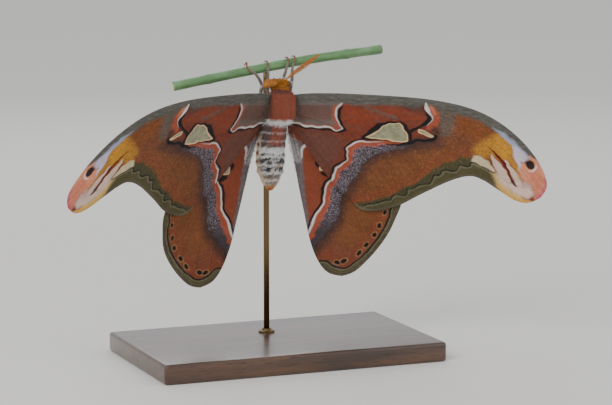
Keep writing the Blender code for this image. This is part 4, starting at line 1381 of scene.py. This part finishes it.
def root_hair_bed(side):
    """Short hair on the forewing's root, beside the thorax."""
    shape = (12, 18)
    along, across = np.linspace(-3.0, 8.0, shape[0]), np.linspace(-15.0, 1.4, shape[1])
    flat = np.column_stack([np.repeat(along, shape[1]), np.tile(across, shape[0])])
    u, v = flat.T
    lie = np.tile((1.0, 0.35), (len(flat), 1))
    tint = np.tile(paint("basal") * 0.75 + paint("collar") * 0.25, (len(flat), 1))
    tint = blend_in(tint, "costal", 0.7 * ease(-11.0, -13.0, v))
    tint = blend_in(tint, "white", 0.85 * ease(-1.9, -0.9, v))
    return hair_bed("root_" + side, flat, shape, False, side, lie, 1.3 - 0.08 * u, tint, ease(5.5, 0.5, u))


def vectors(data, name):
    """A vector attribute of a mesh, one row for each corner."""
    values = np.empty(len(data.vertices) * 3, np.float32)
    data.attributes[name].data.foreach_get("vector", values)
    return values.reshape(-1, 3).astype(float)


def patch_uv(data, flat):
    """Each tuft gets a small patch round flat, its root's place on the skin's unwrap."""
    patch = np.empty(len(data.vertices) * 2, np.float32)
    data.attributes["patch"].data.foreach_get("vector", patch)
    set_bake_uv(data, flat + (patch.reshape(-1, 2) - 0.5) * 0.003)


def wing_hair_unwrap(data):
    """The roots of the wings' hair on the wings' flat drawing, with each side in its own half."""
    half = np.where(vectors(data, "hair_root")[:, 0] > 0, 0.5, 0.0)
    u, v, _ = vectors(data, "drawn_at").T
    return np.column_stack([half + 0.02 + 0.44 * (u + 5.0) / 20.0, 0.02 + 0.94 * (v + 17.0) / 82.0])


def sideways(path, hint):
    """Two directions across a path at each of its points, the first one nearest to hint."""
    ahead = np.gradient(path, axis=0)
    ahead /= np.linalg.norm(ahead, axis=1)[:, None]
    across = np.array(hint, float) - ahead * (ahead @ np.array(hint, float))[:, None]
    across /= np.linalg.norm(across, axis=1)[:, None]
    return ahead, across, np.cross(across, ahead)


def tube_mesh(line, radii, sides=12, frame_hint=(0.0, 1.0, 0.0)):
    """A closed tube along a line in the moth's frame, as points and faces. radii has one for each point."""
    path = np.asarray(line, float)
    _, across, up = sideways(path, frame_hint)
    turn = np.linspace(0, 2 * math.pi, sides, endpoint=False)
    ring = across[:, None] * np.cos(turn)[None, :, None] + up[:, None] * np.sin(turn)[None, :, None]
    points = (path[:, None] + ring * np.asarray(radii, float)[:, None, None]).reshape(-1, 3)
    faces = []
    for i in range(len(path) - 1):
        for k in range(sides):
            a, b = i * sides + k, i * sides + (k + 1) % sides
            faces.append((a, b, b + sides, a + sides))
    last = (len(path) - 1) * sides
    faces.append(tuple(range(sides))[::-1])
    faces.append(tuple(last + k for k in range(sides)))
    return points, faces


def join_meshes(name, parts):
    """One mesh from several (points in the moth's frame, faces), facing outwards."""
    mesh = bmesh.new()
    for points, faces in parts:
        made = [mesh.verts.new(p) for p in to_row(points)]
        for face in faces:
            mesh.faces.new([made[k] for k in face])
    bmesh.ops.recalc_face_normals(mesh, faces=mesh.faces)
    return to_data(mesh, name)


# Sizes and colours that a user would change


class WingSizes(bpy.types.PropertyGroup):
    cell: bpy.props.FloatProperty(
        name="Cell", description="Size of the wing mesh's cells, mm", default=0.62, min=0.3
    )
    thickness: bpy.props.FloatProperty(
        name="Thickness", description="Thickness of a wing, mm", default=0.42, min=0.1
    )
    vein_height: bpy.props.FloatProperty(
        name="Vein height", description="How far veins stand out, mm", default=0.14
    )


class CoatSizes(bpy.types.PropertyGroup):
    spacing: bpy.props.FloatProperty(
        name="Spacing", description="Distance between tufts, mm", default=0.40, min=0.2
    )
    width: bpy.props.FloatProperty(
        name="Hair width", description="Width of a hair, mm", default=0.13, min=0.02
    )
    seed: bpy.props.IntProperty(name="Seed", description="Changes where tufts stand", default=7)


class PerchColours(bpy.types.PropertyGroup):
    green: bpy.props.FloatVectorProperty(
        name="Stem", description="Colour of the stem", default=linear("628c58"), subtype="COLOR",
        min=0, max=1,
    )
    wood: bpy.props.FloatVectorProperty(
        name="Wood", description="Colour of the base", default=linear("3a261b"), subtype="COLOR",
        min=0, max=1,
    )


class StageSizes(bpy.types.PropertyGroup):
    key_power: bpy.props.FloatProperty(
        name="Key light", description="Power of the main light, W", default=11.0
    )
    fill_power: bpy.props.FloatProperty(
        name="Fill light", description="Power of the second light, W", default=2.2
    )
    surround: bpy.props.FloatProperty(name="Surround", description="Strength of the even light", default=0.9)


class MOTH_OT_wings(bpy.types.Operator):
    """Makes the four wings with their veins, marks and windows"""

    bl_idname = "moth.wings"
    bl_label = "Wings"

    def execute(self, context):
        sizes = context.scene.moth_wings
        scales, membrane = wing_scale_material(), window_material()
        for kind, length, width, front, back, fields_of, hind in (
            ("forewing", 165.0, 66.0, FOREWING_FRONT, FOREWING_BACK, forewing_fields, False),
            ("hindwing", 143.0, 54.0, HINDWING_FRONT, HINDWING_BACK, hindwing_fields, True),
        ):
            columns, rows = int(length / sizes.cell), int(width / sizes.cell)
            first, second = evenly(front, columns, 0.996), evenly(back, columns, 0.996)
            share = np.linspace(0.0, 1.0, rows)[None, :, None]
            flat = (first[:, None] * (1 - share) + second[:, None] * share).reshape(-1, 2)
            fields = fields_of(flat)
            for side in SIDES:
                middle = wing_surface(flat, side, hind)
                if side == "left":
                    middle = middle * (-1.0, 1.0, 1.0)
                name = f"{kind}_{side}"
                drawn = name + "_scaled"
                data = wing_mesh(drawn, flat, (columns, rows), middle, fields, sizes, side == "left")
                piece = add_piece(drawn, data, scales, membrane)
                settle(piece, "wing_scales", name)
        return {"FINISHED"}


def joined_flesh():
    """Head, thorax, abdomen and legs in one mesh, with what joins them where the solids keep apart."""
    joined = bmesh.new()
    for name, inset in FLESH_INSETS.items():
        part = to_data(merged_copy(name, inset), name)
        joined.from_mesh(part)
    # Neck and waist
    add_ball(joined, (0.0, 2.6, 6.6), 4.0, (1.1, 0.95, 0.9))
    add_ball(joined, (-0.6, 3.6, -9.4), 5.2, (1.0, 0.9, 0.8))
    for line in LEG_LINES.values():
        base = Vector(line[0])
        add_ball(joined, base.lerp(Vector((base.x * 0.6, 4.5, base.z)), 0.45), 1.35, (0.9, 1.3, 0.9))
    for sign in (-1, 1):
        # A palp beside the mouth, pointing up the face, and the swelling under a wing's root
        add_ball(joined, (sign * PALP_CENTRE[0], *PALP_CENTRE[1:]), 0.95, (0.75, 0.8, 1.25))
        add_ball(joined, (sign * 5.4, 2.2, -3.6), 2.6, (0.9, 0.8, 2.0))
    return joined


def body_skin():
    """One closed skin over all the flesh, softened."""
    skin = add_piece("body_skin", to_data(joined_flesh(), "body_skin"))
    remesh = skin.modifiers.new("one_skin", "REMESH")
    remesh.mode = "VOXEL"
    remesh.voxel_size = 0.26 * MM
    remesh.use_smooth_shade = True
    soften = skin.modifiers.new("soften", "SMOOTH")
    soften.iterations = 3
    skin.data = evaluated_mesh(skin)
    skin.modifiers.clear()
    skin.data.materials.clear()
    skin.data.materials.append(fur_material("moth_skin", 0.55, 1500.0))
    return skin


class MOTH_OT_body(bpy.types.Operator):
    """Makes one skin over head, thorax, abdomen and legs, and the fur on it"""

    bl_idname = "moth.body"
    bl_label = "Body and fur"

    def execute(self, context):
        sizes = context.scene.moth_coat
        skin = body_skin()
        fur_attributes(skin.data)
        set_bake_uv(skin.data, skin_unwrap(to_moth(vertex_values(skin.data, "co"))))
        hair = fur_material("scale_hair", 1.0, 1800.0)
        tufts = {"fine": tuft_template("tuft_fine", 3, 3), "full": tuft_template("tuft_full", 4, 5)}
        for cover, slot, tuft, space, width, lift, jitter in COATS:
            if cover == "wing_hair":
                beds = [bed(side) for side in SIDES for bed in (edge_hair_bed, root_hair_bed)]
                with context.temp_override(active_object=beds[0], selected_editable_objects=beds):
                    bpy.ops.object.join()
                piece = beds[0]
                piece.name = cover
            else:
                piece = add_piece(cover, skin.data.copy())
            run_nodes(piece, coat_tree(cover), {
                "Spacing": sizes.spacing * space * MM, "Hair width": sizes.width * width * MM,
                "Lift": math.radians(lift), "Jitter": jitter, "Seed": sizes.seed, "Tuft": tufts[tuft],
                "Material": hair,
            })
            if cover == "wing_hair":
                patch_uv(piece.data, wing_hair_unwrap(piece.data))
            else:
                patch_uv(piece.data, skin_unwrap(to_moth(vectors(piece.data, "hair_root"))))
            settle(piece, slot)
        for tuft in tufts.values():
            bpy.data.objects.remove(tuft)
        settle(skin, "body_fur", *FLESH_INSETS)
        return {"FINISHED"}


class MOTH_OT_eyes(bpy.types.Operator):
    """Makes the two compound eyes"""

    bl_idname = "moth.eyes"
    bl_label = "Eyes"

    def execute(self, context):
        # Cornea of a compound eye: thousands of lenses, 0.03 mm wide, drawn 0.08 mm wide so that they show
        glass, tree, shader = new_material("compound_eye", {
            "Roughness": 0.34, "Coat Weight": 0.25, "Coat Roughness": 0.25,
        })
        place = node(tree, "ShaderNodeTexCoord").outputs["Object"]
        lens = node(tree, "ShaderNodeTexVoronoi", None, Vector=place, Scale=12500.0, Randomness=0.3)
        tone = node(tree, "ShaderNodeMapRange", None, Value=lens, From_Min=0.1, From_Max=0.6)
        colour = node(
            tree, "ShaderNodeMix", {"data_type": "RGBA"}, i0=tone, i6=rgba("4a3020"), i7=rgba("1c110c")
        )
        bump = node(tree, "ShaderNodeBump", {"invert": True}, Strength=0.3, Distance=0.00002, Height=lens)
        shade_with(tree, shader, Base_Color=colour, Normal=bump)
        for side, sign in (("left", -1), ("right", 1)):
            centre = Vector((sign * EYE_CENTRE.x, EYE_CENTRE.y, EYE_CENTRE.z))
            mesh = bmesh.new()
            made = bmesh.ops.create_icosphere(mesh, subdivisions=5, radius=EYE_RADIUS - 0.05)
            for vert in made["verts"]:
                vert.co = POSE @ ((centre + vert.co) * MM)
            data = to_data(mesh, "eye_" + side)
            settle(add_piece(f"eye_{side}_lens", data, glass), "eye_lens", "eye_" + side)
        return {"FINISHED"}


def feeler_parts(line, hint):
    """A feeler's parts: a jointed shaft, and fine branches to both sides in two rows each."""
    joints = 34
    path = evenly(line, joints * 4 + 1)
    t = np.linspace(0, 1, len(path))
    joint_swell = 0.05 * np.abs(np.sin(t * math.pi * joints))
    parts = [tube_mesh(path, 0.34 - 0.22 * t + joint_swell + 0.35 * ease(0.05, 0.0, t), 8, hint)]
    ahead, across, up = sideways(path, hint)
    steps = np.linspace(0.0, 1.0, 4)
    for k in range(3, len(path) - 2):
        reach = np.interp(t[k], (0.0, 0.12, 0.35, 0.65, 0.88, 1.0), (0.4, 1.5, 2.4, 2.2, 1.2, 0.3))
        swing, rise = (0.35, 0.14) if k % 2 else (0.55, -0.14)
        for sign in (-1, 1):
            way = across[k] * sign + ahead[k] * swing + up[k] * rise
            way /= np.linalg.norm(way)
            droop = ahead[k] * 0.18 * reach
            branch = path[k] + np.outer(steps, way * reach) + np.outer(steps**2, droop)
            parts.append(tube_mesh(branch, (0.11, 0.10, 0.08, 0.04), 4, ahead[k] + 0.01))
    return parts


class MOTH_OT_antennae(bpy.types.Operator):
    """Makes the feathered feelers: a jointed shaft with four rows of fine branches"""

    bl_idname = "moth.antennae"
    bl_label = "Antennae"

    def execute(self, context):
        # Chitin of a feeler: hard, smooth and slightly see-through, orange-brown
        chitin, tree, shader = new_material("feeler_chitin", {"Roughness": 0.55})
        place = node(tree, "ShaderNodeTexCoord").outputs["Object"]
        fleck = node(tree, "ShaderNodeTexNoise", None, Vector=place, Scale=1500.0, Detail=2.0)
        amount = node(tree, "ShaderNodeMapRange", None, Value=fleck, From_Min=0.35, From_Max=0.65)
        colour = node(
            tree, "ShaderNodeMix", {"data_type": "RGBA"}, i0=amount, i6=rgba("8e5216"), i7=rgba("bd7a28")
        )
        shade_with(tree, shader, Base_Color=colour)
        for side, (line, hint) in ANTENNAE.items():
            data = join_meshes(f"antenna_{side}_comb", feeler_parts(line, hint))
            settle(add_piece(f"antenna_{side}_comb", data, chitin), "antenna_comb", "antenna_" + side)
        return {"FINISHED"}


class MOTH_OT_claws(bpy.types.Operator):
    """Makes the paired claws at the end of each leg"""

    bl_idname = "moth.claws"
    bl_label = "Claws"

    def execute(self, context):
        # Chitin of a claw: nearly black, hard and a little glossy
        dark, _, _ = new_material("claw_chitin", {"Base Color": rgba("3a2018"), "Roughness": 0.35})
        parts = []
        for line in LEG_LINES.values():
            end, before = Vector(line[-1]), Vector(line[-2])
            ahead = (end - before).normalized()
            across = ahead.cross(Vector((0, 1, 0)) if abs(ahead.y) < 0.8 else Vector((0, 0, 1))).normalized()
            down = ahead.cross(across)
            if down.z > 0:
                down = -down
            for sign in (-1, 1):
                steps = [(0.0, 0.0, 0.05), (0.35, 0.0, 0.18), (0.62, 0.2, 0.26), (0.7, 0.5, 0.28)]
                hook = [end - ahead * 0.15 + ahead * a + down * b + across * sign * c for a, b, c in steps]
                parts.append(
                    tube_mesh([tuple(p) for p in hook], (0.12, 0.1, 0.07, 0.02), 6, (0.3, 0.5, 0.9))
                )
        settle(add_piece("claws", join_meshes("claws", parts), dark), "leg_fur")
        return {"FINISHED"}


def stem_bark(green):
    """Green plant stem: waxy skin with fine lengthwise ribs and paler patches."""
    bark, tree, shader = new_material("green_stem", {"Roughness": 0.42, "Coat Weight": 0.12})
    shape = node(tree, "ShaderNodeTexCoord").outputs["Object"]
    long = node(
        tree, "ShaderNodeMapping", None, Vector=shape, Rotation=(0, math.radians(-9), 0), Scale=(0.06, 1, 1)
    )
    streak = node(tree, "ShaderNodeTexNoise", None, Vector=long, Scale=1300.0, Detail=3.0)
    cloud = node(tree, "ShaderNodeTexNoise", None, Vector=shape, Scale=90.0, Detail=3.0)
    amount = node(tree, "ShaderNodeMapRange", None, Value=streak, From_Min=0.35, From_Max=0.65)
    patchy = node(tree, "ShaderNodeMapRange", None, Value=cloud, From_Min=0.5, From_Max=0.72, To_Max=0.5)
    first = node(
        tree, "ShaderNodeMix", {"data_type": "RGBA"}, i0=amount, i6=rgba("527a4c"), i7=(*green, 1.0)
    )
    second = node(tree, "ShaderNodeMix", {"data_type": "RGBA"}, i0=patchy, i6=first, i7=rgba("86ab7c"))
    bump = node(tree, "ShaderNodeBump", None, Strength=0.5, Distance=0.0001, Height=streak)
    shade_with(tree, shader, Base_Color=second, Normal=bump)
    return bark


class MOTH_OT_perch(bpy.types.Operator):
    """Makes the cut length of green stem"""

    bl_idname = "moth.perch"
    bl_label = "Perch"

    def execute(self, context):
        # Pith at the cut ends: dry, pale and matt
        pith, _, _ = new_material("stem_pith", {"Base Color": rgba("c9d0a0"), "Roughness": 0.8})
        sides = 24
        path = evenly(STEM_LINE, 90)
        t = np.linspace(0, 1, len(path))
        swell = 0.28 * np.exp(-(((t - 0.83) / 0.012) ** 2)) + 0.22 * np.exp(-(((t - 0.17) / 0.012) ** 2))
        radii = STEM_RADIUS * 0.97 + swell + 0.04 * np.sin(t * 40)
        radii[[0, -1]] *= 0.93
        parts = [tube_mesh(path, radii, sides, (0, 0, 1))]
        # A bud over the leaf scar at each swelling
        for at, turn in ((0.83, 1.0), (0.17, -1.0)):
            k = int(at * (len(path) - 1))
            ahead = path[k + 1] - path[k]
            ahead /= np.linalg.norm(ahead)
            start = path[k] + np.array((0, -0.9, 1.5 * turn))
            way = ahead + np.array((0, -0.12, 0.2 * turn))
            bud = [start + way * s for s in (-0.4, 0.5, 1.5, 2.4)]
            parts.append(tube_mesh(bud, (0.5, 0.62, 0.42, 0.08), 10, (0, 1, 0)))
        data = join_meshes("perch_stem_skin", parts)
        piece = add_piece("perch_stem_skin", data, stem_bark(context.scene.moth_perch.green), pith)
        for face in data.polygons:
            if len(face.vertices) == sides:
                face.material_index = 1
                face.use_smooth = False
        settle(piece, "green_stem", "perch_stem")
        return {"FINISHED"}


def walnut(brown):
    """Walnut under a satin lacquer: straight grain, pores 0.3 mm wide, a soft clear gloss."""
    wood, tree, shader = new_material("lacquered_walnut", {
        "Roughness": 0.34, "Coat Weight": 0.6, "Coat Roughness": 0.18,
    })
    place = node(tree, "ShaderNodeTexCoord").outputs["Object"]
    long = node(tree, "ShaderNodeMapping", None, Vector=place, Scale=(0.08, 1.0, 1.0))
    rings = node(tree, "ShaderNodeTexNoise", None, Vector=long, Scale=160.0, Detail=5.0, Distortion=0.6)
    pores = node(tree, "ShaderNodeTexNoise", None, Vector=long, Scale=1700.0, Detail=2.0)
    amount = node(tree, "ShaderNodeMapRange", None, Value=rings, From_Min=0.36, From_Max=0.64)
    dark = node(tree, "ShaderNodeMapRange", None, Value=pores, From_Min=0.42, From_Max=0.34, To_Max=0.7)
    first = node(
        tree, "ShaderNodeMix", {"data_type": "RGBA"}, i0=amount, i6=(*brown, 1.0), i7=rgba("5a3c28")
    )
    second = node(tree, "ShaderNodeMix", {"data_type": "RGBA"}, i0=dark, i6=first, i7=rgba("24160f"))
    bump = node(tree, "ShaderNodeBump", None, Strength=0.15, Distance=0.00008, Height=pores)
    shade_with(tree, shader, Base_Color=second, Normal=bump)
    return wood


def bronzed_brass():
    """Drawn and patinated brass rod: dull, with finer streaks along it."""
    brass, tree, shader = new_material("bronzed_brass", {"Base Color": rgba("6d5a3c"), "Metallic": 1.0})
    place = node(tree, "ShaderNodeTexCoord").outputs["Object"]
    drawn = node(tree, "ShaderNodeMapping", None, Vector=place, Scale=(1.0, 1.0, 0.05))
    streak = node(tree, "ShaderNodeTexNoise", None, Vector=drawn, Scale=2400.0, Detail=2.0)
    rough = node(
        tree, "ShaderNodeMapRange", None, Value=streak, From_Min=0.3, From_Max=0.7, To_Min=0.28, To_Max=0.46
    )
    shade_with(tree, shader, Roughness=rough)
    return brass


def turned_ring(profile, x, y, floor, sides):
    """A closed ring turned round an upright axis. Its profile is radii and heights over the floor, in mm."""
    mesh = bmesh.new()
    rings = []
    for k in range(sides):
        a = 2 * math.pi * k / sides
        rings.append([
            mesh.verts.new((x + r * MM * math.cos(a), y + r * MM * math.sin(a), floor + h * MM))
            for r, h in profile
        ])
    for k in range(sides):
        one, two = rings[k], rings[(k + 1) % sides]
        for i in range(len(profile)):
            j = (i + 1) % len(profile)
            mesh.faces.new((one[i], two[i], two[j], one[j]))
    bmesh.ops.recalc_face_normals(mesh, faces=mesh.faces)
    return mesh


class MOTH_OT_stand(bpy.types.Operator):
    """Finishes the base and the rod"""

    bl_idname = "moth.stand"
    bl_label = "Stand"

    def execute(self, context):
        low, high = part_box("stand_base")
        mesh = bmesh.new()
        bmesh.ops.create_cube(mesh, size=1.0)
        for vert in mesh.verts:
            vert.co = Vector([low[k] + (high[k] - low[k]) * (vert.co[k] + 0.5) for k in range(3)])
        slab = to_data(mesh, "stand_base_wood")
        piece = add_piece("stand_base_wood", slab, walnut(context.scene.moth_perch.wood))
        edge = piece.modifiers.new("rounded_edges", "BEVEL")
        edge.width = 1.6 * MM
        edge.segments = 6
        piece.data = evaluated_mesh(piece)
        piece.modifiers.clear()
        piece.data.set_sharp_from_angle(angle=math.radians(40))
        settle(piece, "stand_wood", "stand_base")
        brass = bronzed_brass()
        rod = to_data(merged_copy("stand_rod", 0.0), "stand_rod_brass", 50)
        settle(add_piece("stand_rod_brass", rod, brass), "stand_metal", "stand_rod")
        # A turned collar ring where the rod enters the base
        rod_low, rod_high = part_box("stand_rod")
        profile = [
            (1.62, 0.0), (4.2, 0.0), (4.2, 0.7), (3.7, 1.1), (2.6, 1.2), (2.3, 1.9), (1.9, 2.2),
            (1.62, 2.2),
        ]
        ring = turned_ring(profile, rod_low.x + ROD_RADIUS * MM, rod_high.y - ROD_RADIUS * MM, high.z, 40)
        settle(add_piece("stand_rod_collar", to_data(ring, "stand_rod_collar", 35), brass), "stand_metal")
        return {"FINISHED"}


class MOTH_OT_stage(bpy.types.Operator):
    """Makes the floor, the lights and the camera"""

    bl_idname = "moth.stage"
    bl_label = "Stage"

    def execute(self, context):
        sizes = context.scene.moth_stage
        # Matt paper: even, with no gloss
        paper, _, _ = new_material("stage_paper", {
            "Base Color": rgba("e6e4df"), "Roughness": 0.95, "Specular IOR Level": 0.1,
        })
        mesh = bmesh.new()
        bmesh.ops.create_grid(mesh, x_segments=1, y_segments=1, size=6.0)
        add_piece("stage_floor", to_data(mesh, "stage_floor"), paper)
        world = bpy.data.worlds.new("studio")
        world.use_nodes = True
        even_light = world.node_tree.nodes["Background"]
        even_light.inputs["Color"].default_value = rgba("eef0f2")
        even_light.inputs["Strength"].default_value = sizes.surround
        context.scene.world = world
        for name, power, place, size in (
            ("key_light", sizes.key_power, (-0.95, -0.8, 0.85), 0.7),
            ("fill_light", sizes.fill_power, (0.95, -0.8, 0.45), 0.9),
            ("back_light", sizes.fill_power * 0.8, (0.2, 0.9, 0.7), 0.6),
        ):
            lamp = bpy.data.lights.new(name, "AREA")
            lamp.energy = power
            lamp.size = size
            made = bpy.data.objects.new(name, lamp)
            context.scene.collection.objects.link(made)
            made.location = place
            made.rotation_euler = (Vector(LIGHTS_AIM) - Vector(place)).to_track_quat("-Z", "Y").to_euler()
        context.scene.camera = placed_camera()
        context.scene.collection.objects.link(context.scene.camera)
        return {"FINISHED"}


def placed_camera():
    """The camera, where the photograph was taken from, aimed so that the thorax lands at its place."""
    a, e = CAMERA_AZIMUTH, CAMERA_HEIGHT
    back = Vector((math.sin(a) * math.cos(e), -math.cos(a) * math.cos(e), math.sin(e)))
    right = Vector((math.cos(a), math.sin(a), 0.0))
    up = right.cross(-back)
    thorax = POSE.translation
    eye = bpy.data.cameras.new("camera")
    eye.sensor_width = SENSOR_WIDTH
    eye.lens = SENSOR_WIDTH * CAMERA_DISTANCE / PICTURE_WIDTH
    eye.clip_start, eye.clip_end = 0.05, 20.0
    camera = bpy.data.objects.new("camera", eye)
    camera.location = thorax + back * CAMERA_DISTANCE * MM
    aim = thorax + (right * CAMERA_AIM_RIGHT - up * CAMERA_AIM_DOWN) * MM
    camera.rotation_euler = (aim - camera.location).to_track_quat("-Z", "Y").to_euler()
    return camera


class MOTH_PT_panel(bpy.types.Panel):
    """Lists what can be built"""

    bl_idname = "MOTH_PT_panel"
    bl_label = "Atlas moth"
    bl_space_type = "VIEW_3D"
    bl_region_type = "UI"
    bl_category = "Moth"

    def draw(self, context):
        for group in (
            context.scene.moth_wings, context.scene.moth_coat, context.scene.moth_perch,
            context.scene.moth_stage,
        ):
            for name in group.bl_rna.properties.keys():
                if name not in ("rna_type", "name"):
                    self.layout.prop(group, name)
        for operator in OPERATORS:
            self.layout.operator(operator.bl_idname)


GROUPS = {
    "moth_wings": WingSizes, "moth_coat": CoatSizes, "moth_perch": PerchColours, "moth_stage": StageSizes
}
OPERATORS = (
    MOTH_OT_stage, MOTH_OT_wings, MOTH_OT_body, MOTH_OT_eyes, MOTH_OT_antennae, MOTH_OT_claws, MOTH_OT_perch,
    MOTH_OT_stand,
)
CLASSES = (*GROUPS.values(), *OPERATORS, MOTH_PT_panel)


def register():
    for item in CLASSES:
        bpy.utils.register_class(item)
    for name, group in GROUPS.items():
        setattr(bpy.types.Scene, name, bpy.props.PointerProperty(type=group))


def unregister():
    for name in GROUPS:
        delattr(bpy.types.Scene, name)
    for item in reversed(CLASSES):
        bpy.utils.unregister_class(item)


def main():
    register()
    for operator in OPERATORS:
        group, name = operator.bl_idname.split(".")
        getattr(getattr(bpy.ops, group), name)()


if __name__ == "__main__":
    main()
